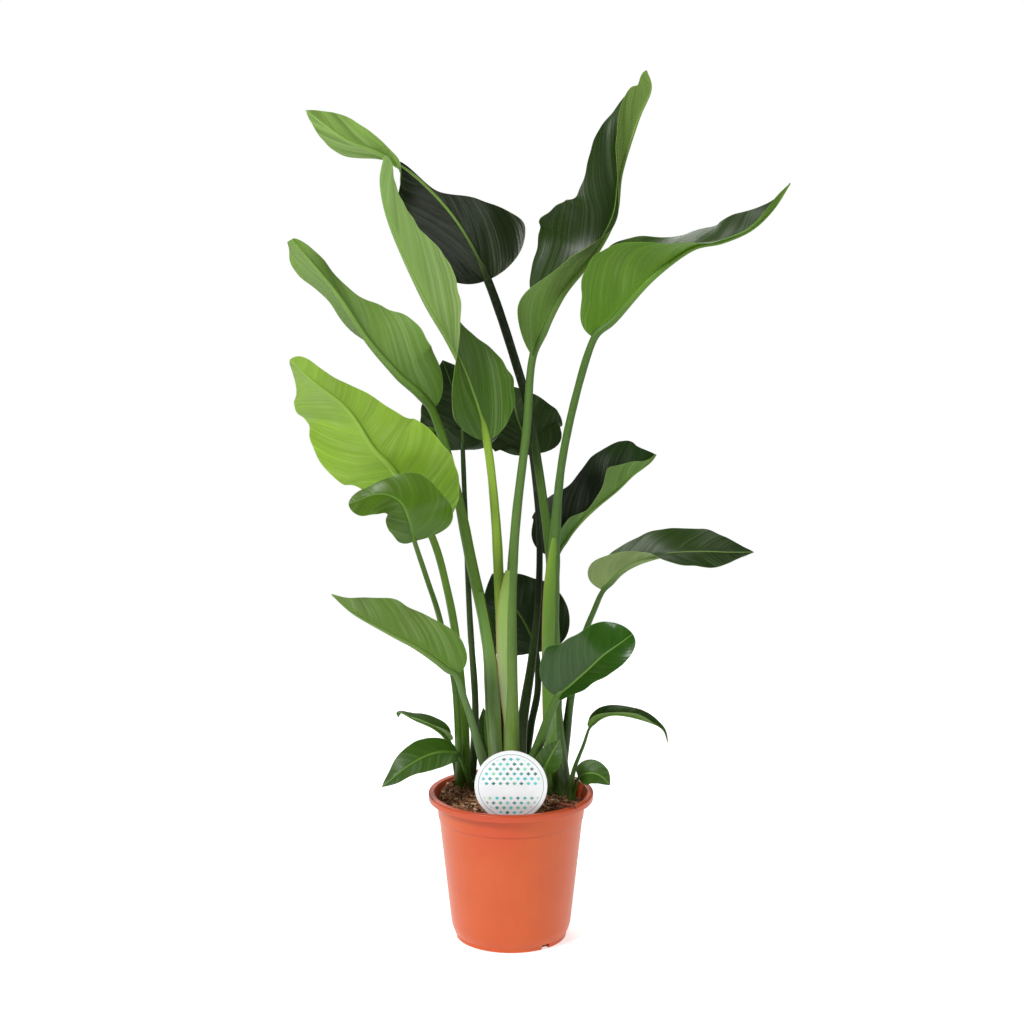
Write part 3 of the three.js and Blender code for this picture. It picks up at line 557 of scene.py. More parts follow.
def arc(start, bend, end, t):
    """Places at shares t of the curve from start to end that leans towards bend."""
    return (1 - t) ** 2 * start + 2 * t * (1 - t) * bend + t**2 * end


def fillet(corners, steps=5):
    """Profile points, with each corner (radius, height, rounding) rounded off."""
    spots = [np.array(corner[:2], float) for corner in corners]
    points = []
    for i, (spot, corner) in enumerate(zip(spots, corners)):
        rounding = corner[2] if len(corner) > 2 else 0
        if not rounding or i in (0, len(corners) - 1):
            points.append(spot)
            continue
        start = spot + unit(spots[i - 1] - spot) * rounding
        end = spot + unit(spots[i + 1] - spot) * rounding
        for t in np.linspace(0, 1, steps):
            points.append(arc(start, spot, end, t))
    return np.array(points)


def turned(profile, sides):
    """Rings of a profile of radius and height round the Z axis, with their angle and height."""
    angle = np.linspace(0, 2 * math.pi, sides + 1)
    radius, height = profile[:, :1], np.repeat(profile[:, 1:], sides + 1, 1)
    rings = np.stack([radius * np.cos(angle), radius * np.sin(angle), height], -1)
    grain = np.stack([np.broadcast_to(angle, height.shape) * radius * MM, height * MM], -1)
    return rings[:, :-1], grain


def tube(body, centres, tangents, radii, facing, finish, sides, channel=0, share=None):
    """A round body, such as a stalk. facing is the side on which its channel runs, channel how deep
    that is, and share what the place layer says along the body."""
    forward = unit(facing - tangents * np.sum(facing * tangents, -1, keepdims=True))
    across = np.cross(tangents, forward)
    angle = np.linspace(-math.pi, math.pi, sides + 1)
    depth = 1 - np.asarray(channel)[..., None] * np.exp(-((angle / CHANNEL_WIDTH) ** 2))
    radius = np.asarray(radii)[:, None] * np.broadcast_to(depth, (len(centres), sides + 1))
    rings = centres[:, None] + radius[..., None] * (
        np.cos(angle)[:, None] * forward[:, None] + np.sin(angle)[:, None] * across[:, None]
    )
    along = np.concatenate([[0], np.cumsum(np.linalg.norm(np.diff(centres, axis=0), axis=1))])
    if share is None:
        share = np.linspace(0, 1, len(centres))
    girth = angle / math.pi * np.asarray(radii)[:, None] * 3 * MM
    grain = np.stack([girth, np.broadcast_to(along[:, None] * MM, girth.shape)], -1)
    spread = np.broadcast_to(angle / math.pi, girth.shape)
    place = np.stack([np.broadcast_to(share[:, None], girth.shape), spread], -1)
    body.grid(rings[:, :-1], grain, place, finish)


# ---------------------------------------------------------------- finishes

class Shade:
    """One socket of a material, so that sums on it add the nodes for them."""

    def __init__(self, tree, socket=None):
        self.tree = tree
        self.socket = socket

    def node(self, kind, settings=None, sockets=None, output=None):
        """Adds a node: its type, its settings, and the values or links of its sockets."""
        made = self.tree.nodes.new("ShaderNode" + kind)
        for name, value in (settings or {}).items():
            if name == "stops":
                set_stops(made.color_ramp, value)
            else:
                setattr(made, name, value)
        for name, value in (sockets or {}).items():
            if isinstance(name, str):
                socket = next(s for s in made.inputs if s.enabled and s.name == name)
            else:
                socket = made.inputs[name]
            if isinstance(value, Shade):
                self.tree.links.new(value.socket, socket)
            else:
                socket.default_value = value
        results = [s for s in made.outputs if s.enabled and output in (None, s.name)]
        return Shade(self.tree, results[0])

    def math(self, operation, *values):
        return self.node("Math", {"operation": operation}, dict(enumerate(values)))

    def __add__(self, other):
        return self.math("ADD", self, other)

    __radd__ = __add__

    def __sub__(self, other):
        return self.math("SUBTRACT", self, other)

    def __rsub__(self, other):
        return self.math("SUBTRACT", other, self)

    def __mul__(self, other):
        return self.math("MULTIPLY", self, other)

    __rmul__ = __mul__

    def __truediv__(self, other):
        return self.math("DIVIDE", self, other)

    def __pow__(self, other):
        return self.math("POWER", self, other)

    def size(self):
        return self.math("ABSOLUTE", self)

    def floor(self):
        return self.math("FLOOR", self)

    def fract(self):
        return self.math("FRACT", self)

    def step(self, low, high):
        """0 below low, 1 above high, and an even S between."""
        return self.node(
            "MapRange", {"interpolation_type": "SMOOTHSTEP"},
            {"Value": self, "From Min": low, "From Max": high},
        )

    def mix(self, first, second):
        """The first colour where this is 0 and the second where it is 1."""
        return self.node("Mix", {"data_type": "RGBA"}, {"Factor": self, "A": first, "B": second})

    def ramp(self, *stops):
        return self.node("ValToRGB", {"stops": stops}, {"Fac": self}, "Color")

    def stretched(self, *factors):
        return self.node("VectorMath", {"operation": "MULTIPLY"}, {0: self, 1: factors})

    def noise(self, size, detail=3.0, roughness=0.55):
        """0 to 1, with spots about as large as size, in metres."""
        return self.node(
            "TexNoise", None,
            {"Vector": self, "Scale": 1 / size, "Detail": detail, "Roughness": roughness}, "Fac",
        )

    def cells(self, size):
        """How far a place is from the middle of its cell, in cells of about size, in metres."""
        return self.node("TexVoronoi", None, {"Vector": self, "Scale": 1 / size}, "Distance")

    def part(self, axis):
        return self.node("SeparateXYZ", None, {"Vector": self}, axis)

    def uv(self, layer):
        return self.node("UVMap", {"uv_map": layer})

    def object_place(self):
        return self.node("TexCoord", None, None, "Object")


def paint(red, green, blue):
    """A colour as a swatch gives it, 0 to 255, in the renderer's own scale."""
    def linear(value):
        value /= 255
        return value / 12.92 if value <= 0.04045 else ((value + 0.055) / 1.055) ** 2.4
    return (linear(red), linear(green), linear(blue), 1)


def set_stops(ramp, stops):
    while len(ramp.elements) > 1:
        ramp.elements.remove(ramp.elements[-1])
    for i, (position, colour) in enumerate(stops):
        element = ramp.elements[0] if i == 0 else ramp.elements.new(position)
        element.position = position
        element.color = colour


def finish(name, make):
    """A material. make gives its colour, roughness and relief, how deep the relief is in metres,
    and how much the surface shines."""
    made = bpy.data.materials.new(name)
    made.use_nodes = True
    made.node_tree.nodes.clear()
    shade = Shade(made.node_tree)
    look = make(shade)
    bump = shade.node(
        "Bump", None, {"Strength": 1.0, "Distance": look["depth"], "Height": look["relief"]}
    )
    surface = shade.node("BsdfPrincipled", None, {
        "Base Color": look["colour"], "Roughness": look["roughness"],
        "Specular IOR Level": look["shine"], "Normal": bump,
    })
    result = made.node_tree.nodes.new("ShaderNodeOutputMaterial")
    made.node_tree.links.new(surface.socket, result.inputs["Surface"])
    return made


def pot_plastic(shade):
    place = shade.object_place()
    height, across = place.part("Z"), place.part("X")
    cloud = place.noise(0.06, 2.0)
    streaks = place.stretched(1, 1, 0.1).noise(0.005, 3.0)
    scuffs = place.stretched(1, 1, 4).noise(0.0018, 4.0, 0.7).step(0.7, 0.78)
    dust = place.noise(0.012, 5.0, 0.65)
    colour = (cloud * 0.8 + streaks * 0.2).ramp(
        (0.2, paint(196, 82, 33)), (0.5, paint(200, 87, 37)), (0.8, paint(204, 92, 42))
    )
    # Painted shadow of the label: the front middle of the wall is darker from about 100 mm up.
    label_shadow = (across + 0.012 + cloud * 0.02).size().step(0.052, 0.012) * height.step(0.1, 0.165)
    label_shadow = label_shadow * place.part("Y").step(0.0, -0.05)
    colour = (label_shadow * 0.75).mix(colour, paint(198, 74, 36))
    # Painted shade in the step of the wall: a darker line round the pot there.
    ledge = (height - STEP_HEIGHT * MM).size().step(0.0016, 0.0004)
    colour = (ledge * 0.55).mix(colour, paint(164, 58, 24))
    rim = height.step(0.179, 0.184)
    colour = (rim * 0.6).mix(colour, paint(190, 74, 44))
    colour = (scuffs * 0.16).mix(colour, paint(226, 146, 112))
    low = height.step(0.03, 0.0)
    colour = (low * dust.step(0.45, 0.7) * 0.3).mix(colour, paint(150, 92, 66))
    return dict(
        colour=colour, depth=0.0003, shine=0.38,
        roughness=0.26 + cloud * 0.1 + scuffs * 0.12 + dust * 0.08,
        relief=streaks * 0.3 + cloud + dust * 0.2 - scuffs * 0.12,
    )


def compost(shade):
    place = shade.object_place()
    lumps = place.noise(0.009, 5.0, 0.65)
    crumbs = place.noise(0.0022, 6.0, 0.7)
    specks = place.cells(0.003).step(0.28, 0.12) * place.noise(0.006, 2.0).step(0.55, 0.62)
    colour = (lumps * 0.5 + crumbs * 0.5).ramp(
        (0.36, paint(48, 26, 16)), (0.5, paint(104, 62, 42)), (0.62, paint(148, 98, 68))
    )
    colour = (specks * 0.8).mix(colour, paint(196, 156, 116))
    return dict(
        colour=colour, depth=0.0014, shine=0.25,
        roughness=0.82 + crumbs * 0.15,
        relief=crumbs + lumps * 0.6,
    )


def chips(shade):
    """Bark and straw. The first value of the place layer tells one chip's colour from another's."""
    tone = shade.uv("place").part("X")
    place = shade.object_place()
    fibre = place.stretched(1, 1, 0.35).noise(0.0012, 4.0, 0.7)
    colour = tone.ramp(
        (0.0, paint(64, 38, 26)), (0.3, paint(116, 72, 50)), (0.55, paint(156, 106, 74)),
        (0.8, paint(198, 152, 110)), (1.0, paint(232, 202, 162)),
    )
    colour = (fibre.step(0.35, 0.65) * 0.35).mix(colour, paint(76, 46, 32))
    return dict(
        colour=colour, depth=0.0006, shine=0.3,
        roughness=0.72 + fibre * 0.2,
        relief=fibre,
    )


def root_bark(shade):
    place = shade.object_place()
    grain = place.noise(0.002, 5.0, 0.7)
    colour = grain.ramp((0.35, paint(84, 38, 26)), (0.6, paint(142, 74, 50)), (0.75, paint(176, 112, 82)))
    return dict(
        colour=colour, depth=0.0006, shine=0.35,
        roughness=0.65 + grain * 0.2,
        relief=grain,
    )


def label_board(shade):
    """White card with staggered rows of small diamonds, and a plain band across its middle."""
    place = shade.uv("grain")
    across, up = place.part("X"), place.part("Y")
    pitch, row_height = 0.0086, 0.0062
    rise = up / row_height
    row = rise.floor()
    column = across / pitch + (row * 0.5).fract()
    from_x = (column.fract() - 0.5).size()
    from_y = (rise.fract() - 0.5).size()
    diamond = (from_x * 1.25 + from_y * 1.05).step(0.44, 0.36)
    radius = (across * across + up * up) ** 0.5
    field = radius.step(0.0375, 0.036) * (up + 0.006).size().step(0.0068, 0.0074)
    cell = shade.node("CombineXYZ", None, {"X": column.floor(), "Y": row})
    pick = shade.node("TexWhiteNoise", {"noise_dimensions": "2D"}, {"Vector": cell}, "Value")
    ink = pick.ramp(
        (0.0, paint(64, 178, 178)), (0.22, paint(120, 206, 184)), (0.45, paint(92, 122, 112)),
        (0.62, paint(70, 196, 206)), (0.8, paint(150, 214, 176)), (0.92, paint(48, 120, 108)),
    )
    ring = (radius - 0.0402).size().step(0.0005, 0.0002)
    paper = place.noise(0.0009, 3.0)
    white = place.noise(0.03, 2.0).ramp((0.3, paint(226, 228, 230)), (0.7, paint(236, 238, 239)))
    colour = (diamond * field).mix(white, ink)
    colour = (ring * 0.8).mix(colour, paint(92, 140, 130))
    return dict(
        colour=colour, depth=0.00008, shine=0.4,
        roughness=0.42 + paper * 0.12,
        relief=paper,
    )


def label_back(shade):
    place = shade.object_place()
    paper = place.noise(0.0011, 3.0)
    colour = paper.ramp((0.3, paint(224, 225, 224)), (0.7, paint(240, 240, 238)))
    return dict(
        colour=colour, depth=0.00008, shine=0.4,
        roughness=0.45 + paper * 0.15,
        relief=paper,
    )


def stalk_skin(foot, middle, top, turns=(0.04, 0.4, 0.95), bloom=0.3):
    """Smooth fibrous skin, waxy and greyer at its foot. turns are where its three colours stand."""
    def make(shade):
        grain, share = shade.uv("grain"), shade.uv("place").part("X")
        fibres = grain.stretched(1, 0.025, 1).noise(0.0014, 3.0, 0.6)
        fine = grain.stretched(1, 0.05, 1).noise(0.0005, 2.0)
        patches = grain.stretched(1, 0.2, 1).noise(0.03, 3.0)
        wax = grain.stretched(1, 0.25, 1).noise(0.01, 4.0, 0.6)
        colour = (share + (patches - 0.5) * 0.08).ramp(
            *((turn, paint(*tone)) for turn, tone in zip(turns, (foot, middle, top)))
        )
        dim = (fibres * 0.5 + patches * 0.5).step(0.35, 0.7)
        colour = (dim * 0.3).mix(colour, paint(*(0.7 * c for c in middle)))
        colour = (fine.step(0.5, 0.7) * 0.1).mix(colour, paint(176, 198, 128))
        waxy = share.step(0.45, 0.05) * wax.step(0.4, 0.68) * bloom
        colour = waxy.mix(colour, paint(150, 164, 140))
        return dict(
            colour=colour, depth=0.0003, shine=0.28,
            roughness=0.42 + wax * 0.1 + waxy * 0.3,
            relief=fibres * 0.5 + fine * 0.2 + patches * 0.8,
        )
    return make


def sheath_skin(colour_low, colour_high):
    """A leaf foot that clasps the shoot, with a papery tan margin."""
    def make(shade):
        grain, place = shade.uv("grain"), shade.uv("place")
        share, out = place.part("X"), place.part("Y")
        fibres = grain.stretched(1, 0.03, 1).noise(0.0013, 3.0, 0.6)
        wax = grain.stretched(1, 0.25, 1).noise(0.014, 4.0, 0.6)
        colour = share.ramp((0.1, paint(*colour_low)), (0.9, paint(*colour_high)))
        colour = (fibres.step(0.35, 0.7) * 0.2).mix(colour, paint(*(0.78 * c for c in colour_high)))
        waxy = share.step(0.8, 0.1) * wax.step(0.38, 0.62) * 0.4
        colour = waxy.mix(colour, paint(158, 168, 150))
        edge = (out + (wax - 0.5) * 0.06).step(0.9, 0.98)
        colour = (edge * 0.6).mix(colour, paint(150, 126, 80))
        return dict(
            colour=colour, depth=0.0003, shine=0.28,
            roughness=0.4 + wax * 0.15 + edge * 0.15,
            relief=fibres * 0.7 + wax * 0.4,
        )
    return make


UNDERSIDE_GLOSS = 0.46


def lighter(tone):
    """A shade of a leaf's own colour, for the raised ribs of its underside."""
    return [1.06 * c + 4 for c in tone]


def vein_pitch(sweep):
    """How much further apart veins stand along the midrib than across themselves."""
    return math.hypot(1, 0.9 * sweep)


def leaf_face(foot, middle, tip, look, under=False):
    """One face of a blade. Its veins leave the midrib and sweep forward to the margin."""
    ribbing, bloom = look["ribbing"], look["bloom"]
    vein = lighter(middle) if under else look["vein"]
    gloss = UNDERSIDE_GLOSS if under else look["gloss"]

    def make(shade):
        grain, place = shade.uv("grain"), shade.uv("place")
        along, across = grain.part("X"), grain.part("Y")
        share, out = place.part("X"), place.part("Y").size()
        along_vein = along / vein_pitch(look["sweep"])
        fan = shade.node("CombineXYZ", None, {"X": along_vein, "Y": across * 0.02})
        threads = fan.noise(0.0011, 2.0, 0.5)
        bands = fan.noise(0.004, 2.0, 0.5)
        pleats = fan.noise(0.014, 2.0)
        patches = grain.noise(0.045, 3.0)
        sheen = grain.stretched(0.5, 0.4, 1).noise(0.02, 2.0).step(0.42, 0.62)
        pores = grain.noise(0.0009, 2.0)
        away = out.step(0.02, 0.25)
        colour = (share + (patches - 0.5) * 0.3).ramp(
            (0.02, paint(*foot)), (0.45, paint(*middle)), (0.95, paint(*tip))
        )
        deep = paint(*(0.66 * c for c in middle))
        light = paint(*(min(1.28 * c + 10, 255) for c in middle))
        waxy = paint(*(0.62 * c + 74 for c in middle))
        colour = (pleats.step(0.35, 0.65) * away * (0.36 * ribbing)).mix(colour, deep)
        colour = (bands.step(0.5, 0.75) * away * (0.26 * ribbing)).mix(colour, light)
        colour = (threads.step(0.45, 0.75) * 0.16).mix(colour, light)
        # Painted sheen, partly the leaf's waxy bloom: light grey stripes where the sheen noise is high.
        colour = (sheen * bands.step(0.4, 0.6) * away * bloom).mix(colour, waxy)
        colour = (pores.step(0.6, 0.75) * 0.08).mix(colour, deep)
        rib_width = 0.0019 if under else 0.0013
        rib = across.size() - (1 - share) * rib_width
        colour = (rib.step(0.001, 0.0) * 0.7).mix(colour, paint(*vein))
        margin = paint(*(min(1.1 * c + 16, 255) for c in vein))
        colour = (out.step(0.975, 0.995) * 0.3).mix(colour, margin)
        spots = grain.cells(0.013).step(0.08, 0.04) * patches.step(0.62, 0.68)
        colour = (spots * 0.4).mix(colour, paint(96, 74, 40))
        return dict(
            colour=colour, depth=0.0006, shine=0.18 if under else 0.32,
            roughness=gloss + patches * 0.1 + threads * 0.06 + spots * 0.2,
            relief=threads * 0.3 + bands * ribbing + pores * 0.05,
        )
    return make


# Colours of each leaf as a swatch gives them: of the upper face and the underside at foot, middle
# and tip, of the veins, and of the foot of the midrib's underside (rib) where it isn't the stalk's.
# ribbing is how strong the veins are, sweep how far they lean forward, gloss the roughness of the
# upper face, and bloom how strong its light grey stripes are, partly waxy bloom and partly painted sheen.
DARK = dict(
    upper=((30, 48, 14), (36, 54, 18), (34, 50, 18)), lower=((66, 98, 30), (86, 118, 44), (92, 124, 48)),
    vein=(84, 112, 48), ribbing=1.0, gloss=0.32, sweep=0.9, bloom=0.25,
)
GREEN = dict(
    upper=((56, 90, 16), (58, 92, 20), (52, 84, 22)), lower=((80, 116, 34), (92, 128, 44), (88, 122, 44)),
    vein=(112, 146, 62), ribbing=0.8, gloss=0.34, sweep=0.8, bloom=0.25,
)
LOOKS = {
    "leaf_01": dict(DARK, bloom=0.36, upper=((24, 40, 6), (28, 42, 10), (28, 42, 14)),
                    lower=((98, 140, 50), (130, 168, 74), (140, 178, 84)),
                    ribbing=1.6, sweep=3.2, gloss=0.26),
    "leaf_02": dict(GREEN, bloom=0.4, upper=((64, 102, 20), (80, 118, 26), (84, 124, 30)),
                    lower=((90, 130, 50), (120, 150, 74), (118, 152, 80)), ribbing=1.1, sweep=3.6),
    "leaf_03": dict(DARK, bloom=0.22, upper=((40, 68, 12), (35, 56, 10), (42, 70, 16)),
                    lower=((96, 134, 52), (114, 146, 64), (110, 142, 58)), sweep=2.6),
    "leaf_04": dict(GREEN, upper=((66, 108, 16), (54, 78, 26), (46, 62, 34)),
                    lower=((78, 118, 22), (88, 128, 30), (88, 124, 36)), sweep=1.4, gloss=0.4),
    "leaf_05": dict(GREEN, bloom=0.3, lower=((82, 118, 36), (108, 142, 62), (118, 154, 66)),
                    ribbing=0.6, sweep=2.2),
    # leaf_06's light underside colours are painted backlight, as if light shone through the blade from
    # behind.
    "leaf_06": dict(GREEN, lower=((98, 140, 26), (130, 166, 50), (132, 168, 62)),
                    vein=(142, 176, 62), rib=(126, 162, 48), ribbing=0.7, sweep=0.4),
    "leaf_07": dict(GREEN, bloom=0.2, upper=((60, 98, 10), (72, 108, 14), (78, 106, 28)),
                    gloss=0.28),
    "leaf_08": dict(DARK, upper=((30, 50, 12), (34, 54, 16), (38, 62, 18))),
    "leaf_09": dict(DARK, upper=((38, 60, 12), (44, 66, 18), (42, 62, 18))),
    "leaf_10": dict(DARK, upper=((21, 36, 6), (18, 31, 6), (38, 72, 12)),
                    lower=((62, 104, 28), (96, 130, 52), (100, 136, 56)), sweep=1.3),
    "leaf_11": dict(GREEN, vein=(72, 98, 36), upper=((52, 88, 26), (44, 68, 18), (32, 50, 16)),
                    lower=((130, 150, 92), (112, 136, 76), (94, 124, 58)), sweep=1.2),
    "leaf_12": dict(DARK, bloom=0.12, upper=((34, 68, 10), (36, 70, 10), (44, 86, 14)), vein=(100, 144, 56),
                    ribbing=0.7, gloss=0.16),
    "leaf_13": dict(GREEN, bloom=0.3, lower=((84, 126, 32), (94, 124, 48), (98, 126, 58)),
                    sweep=1.5),
    "leaf_18": dict(DARK, upper=((28, 46, 12), (32, 52, 14), (30, 50, 14))),
}
# Colours of each stalk at foot, middle and top; turns and bloom are those of stalk_skin
STALK = dict(colours=((78, 106, 40), (70, 108, 38), (64, 104, 28)))
STALKS = {
    "leaf_01": dict(colours=((78, 112, 30), (74, 108, 34), (26, 34, 14)), turns=(0.05, 0.6, 0.74)),
    "leaf_02": dict(colours=((102, 134, 44), (148, 184, 62), (142, 178, 56))),
    "leaf_03": dict(colours=((134, 166, 58), (90, 122, 52), (86, 120, 52))),
    "leaf_04": dict(colours=((50, 80, 12), (74, 112, 20), (74, 108, 42)), turns=(0.08, 0.35, 0.55)),
    "leaf_05": dict(colours=((90, 124, 32), (96, 134, 38), (84, 122, 36)), bloom=0.15),
    "leaf_06": dict(colours=((82, 116, 22), (92, 130, 26), (96, 136, 32)), bloom=0.1),
    "leaf_07": dict(colours=((70, 104, 22), (70, 106, 22), (74, 110, 26)), bloom=0.15),
    "leaf_08": dict(colours=((60, 84, 26), (52, 76, 24), (34, 54, 16))),
    "leaf_09": dict(colours=((96, 116, 78), (78, 100, 54), (24, 34, 14)), turns=(0.05, 0.46, 0.62)),
    "leaf_11": dict(colours=((44, 72, 18), (50, 80, 20), (64, 96, 34)), bloom=0.1),
    "leaf_12": dict(colours=((92, 118, 70), (74, 104, 42), (70, 106, 32))),
    "leaf_13": dict(colours=((104, 126, 86), (92, 118, 74), (84, 118, 52))),
    "leaf_18": dict(colours=((48, 70, 24), (44, 66, 22), (38, 60, 18))),
}


# ---------------------------------------------------------------- pot

def make_pot():
    skirt = POT_HEIGHT - RIM_BAND
    ledge = FOOT_HEIGHT + WALL
    below, above = STEP_HEIGHT - STEP_OUT / 2, STEP_HEIGHT + STEP_OUT / 2
    inner_foot = FOOT_RADIUS - WALL - 0.5
    inner_top = WALL_TOP_RADIUS - WALL
    corners = [
        (0.5, 0), (FOOT_RADIUS, 0, 1.2), (FOOT_RADIUS, 5.5, 0.8),
        (FOOT_RADIUS + 1.2, 6.6, 0.8), (WALL_FOOT_RADIUS + 1, 15, 7), (wall_radius(below), below, 0.6),
        (wall_radius(above), above, 0.6), (WALL_TOP_RADIUS, skirt, 1.5),
        (WALL_TOP_RADIUS + RIM_FLARE, POT_HEIGHT - WALL, 0.6), (RIM_RADIUS - WALL, POT_HEIGHT - WALL, 0.6),
        (RIM_RADIUS - WALL, skirt, 0.5), (RIM_RADIUS - 0.4, skirt, 0.7),
        (RIM_RADIUS, POT_HEIGHT, 2.6), (inner_top + RIM_FLARE, POT_HEIGHT, 1.2), (inner_top, skirt, 1.5),
        (wall_radius(above) - WALL, above, 0.6), (wall_radius(below) - WALL, below, 0.6),
        (wall_radius(ledge) - WALL, ledge, 0.8), (inner_foot, ledge, 0.8),
        (inner_foot, FLOOR_THICKNESS, 0.8), (0.5, FLOOR_THICKNESS),
    ]
    body = Body()
    rings, grain = turned(fillet(corners), POT_SIDES)
    body.grid(rings, grain, grain, 0)
    mesh = body.mesh("nursery_pot", [finish("pot_plastic", pot_plastic)], 35)
    pot = bpy.data.objects.new("nursery_pot", mesh)
    bpy.context.scene.collection.objects.link(pot)
    cutters = []
    for i in range(NOTCH["count"]):
        angle = math.radians(NOTCH["first"] + 360 / NOTCH["count"] * i)
        bpy.ops.mesh.primitive_cube_add(size=1, rotation=(0, 0, angle))
        cutter = bpy.context.object
        cutter.location = (FOOT_RADIUS * MM * math.cos(angle), FOOT_RADIUS * MM * math.sin(angle), 0)
        cutter.scale = (NOTCH["depth"] * MM, NOTCH["width"] * MM, NOTCH["height"] * 2 * MM)
        cutters.append(cutter)
    for i in range(DRAIN["count"]):
        angle = 2 * math.pi * i / DRAIN["count"]
        bpy.ops.mesh.primitive_cylinder_add(
            radius=DRAIN["radius"] * MM, depth=0.012,
            location=(DRAIN["ring"] * MM * math.cos(angle), DRAIN["ring"] * MM * math.sin(angle), 0),
        )
        cutters.append(bpy.context.object)
    for cutter in cutters:
        cut = pot.modifiers.new("cut", "BOOLEAN")
        cut.operation, cut.object, cut.solver = "DIFFERENCE", cutter, "EXACT"
    bpy.context.view_layer.objects.active = pot
    for cut in list(pot.modifiers):
        bpy.ops.object.modifier_apply(modifier=cut.name)
    for cutter in cutters:
        bpy.data.objects.remove(cutter)
    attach(pot, "root")
    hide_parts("pot")


# ---------------------------------------------------------------- soil

def soil_surface(x, y):
    """Height of the crumbled surface."""
    coarse = ripple(x / 3.6, y / 3.6, 11) * 1.5
    fine = ripple(x / 1.5, y / 1.5, 12) * 0.7 + ripple(x / 0.8, y / 0.8, 13) * 0.35
    edge = smooth(0, 14, wall_radius(SOIL_EDGE) - WALL - np.hypot(x, y))
    return soil_height(x, y) + (coarse + fine) * (0.3 + 0.7 * edge)


def make_soil():
    body = Body()
    edge = wall_radius(SOIL_EDGE - 4) - WALL - SOIL_CLEARANCE
    ledge = FOOT_HEIGHT + WALL + SOIL_CLEARANCE
    floor = FLOOR_THICKNESS + SOIL_CLEARANCE
    inner_foot = FOOT_RADIUS - WALL - 0.8
    walls = (ledge, STEP_HEIGHT - STEP_OUT / 2, STEP_HEIGHT + STEP_OUT / 2)
    side = [(0.5, floor), (inner_foot, floor), (inner_foot, ledge)]
    side += [(wall_radius(height) - WALL - SOIL_CLEARANCE, height) for height in walls]
    surface = [(edge * share, SOIL_EDGE) for share in np.linspace(1, 0.006, 74)]
    rings, grain = turned(np.array(side + surface), 300)
    top = rings[len(side):]
    top[..., 2] = soil_surface(top[..., 0], top[..., 1])
    body.grid(rings, grain, grain, 0)
    piece("compost", body, [finish("compost", compost)], 80, "compost", "soil")


def turning(axis, angle):
    """The matrix of a turn about one axis, by its number."""
    first, second = (axis + 1) % 3, (axis + 2) % 3
    matrix = np.eye(3)
    matrix[first, first] = matrix[second, second] = math.cos(angle)
    matrix[second, first] = math.sin(angle)
    matrix[first, second] = -math.sin(angle)
    return matrix


def lump(draw, long, wide, thick):
    """An angular chip with knocked corners, lying near the ground."""
    corners = np.array([(x, y, z) for z in (-1, 1) for y in (-1, 1) for x in (-1, 1)], float)
    corners[:, :2] *= np.array([[draw.uniform(0.55, 1) for _ in range(2)] for _ in range(8)])
    corners *= np.array([long, wide, thick]) / 2
    spin, tilt, roll = draw.uniform(0, 2 * math.pi), draw.gauss(0, 0.35), draw.gauss(0, 0.4)
    return corners @ (turning(2, spin) @ turning(1, tilt) @ turning(0, roll)).T


LUMP_FACES = np.array([(0, 2, 3, 1), (4, 5, 7, 6), (0, 1, 5, 4), (2, 6, 7, 3), (0, 4, 6, 2), (1, 3, 7, 5)])


def soil_spot(draw, margin):
    """A place on the soil, at least margin from the pot's wall."""
    reach = wall_radius(SOIL_EDGE) - WALL - margin
    radius, angle = reach * math.sqrt(draw.random()), draw.uniform(0, 2 * math.pi)
    return radius * math.cos(angle), radius * math.sin(angle)


def make_chips():
    draw = random.Random(5)
    body = Body()
    for _ in range(CHIP_COUNT):
        x, y = soil_spot(draw, 4)
        long = draw.uniform(2.2, 5.5) if draw.random() < 0.8 else draw.uniform(6, 12)
        points = lump(draw, long, long * draw.uniform(0.25, 0.7), draw.uniform(0.8, 2.4))
        points += (x, y, soil_surface(np.array(x), np.array(y)) + draw.uniform(-0.2, 0.9))
        tone = min(max(draw.gauss(0.5, 0.28), 0), 1)
        body.chunk(points, LUMP_FACES, (tone, 0), (tone, draw.random()), 0)
    piece("bark_chips", body, [finish("bark_chips", chips)], 25, "bark")


def make_fibres():
    """Coarse stray fibres that lie over the soil."""
    draw = random.Random(8)
    body = Body()
    for _ in range(STRAW_COUNT):
        x, y = soil_spot(draw, 12)
        spin, bend = draw.uniform(0, 2 * math.pi), draw.gauss(0, 0.9)
        length = draw.uniform(7, 24)
        steps = np.linspace(-0.5, 0.5, 8)
        heading = spin + bend * steps
        stride = length / 7
        line_x = x + np.cumsum(np.cos(heading)) * stride - 4 * stride * math.cos(spin)
        line_y = y + np.cumsum(np.sin(heading)) * stride - 4 * stride * math.sin(spin)
        reach = wall_radius(SOIL_EDGE) - WALL - 3
        if np.hypot(line_x, line_y).max() > reach:
            continue
        lift = draw.uniform(0.4, 1.6) + draw.uniform(0, 3) * steps**2 * 4 * draw.random()
        centres = np.stack([line_x, line_y, soil_height(line_x, line_y) + lift], -1)
        tangents = unit(np.gradient(centres, axis=0))
        thick = draw.uniform(0.22, 0.55) * (1 - 1.6 * steps**2)
        tone = min(max(draw.gauss(0.8, 0.18), 0), 1)
        tube(body, centres, tangents, thick, UP, 0, 5, share=np.full(len(centres), tone))
    piece("stray_fibres", body, [finish("straw_fibres", chips)], 60, "bark")


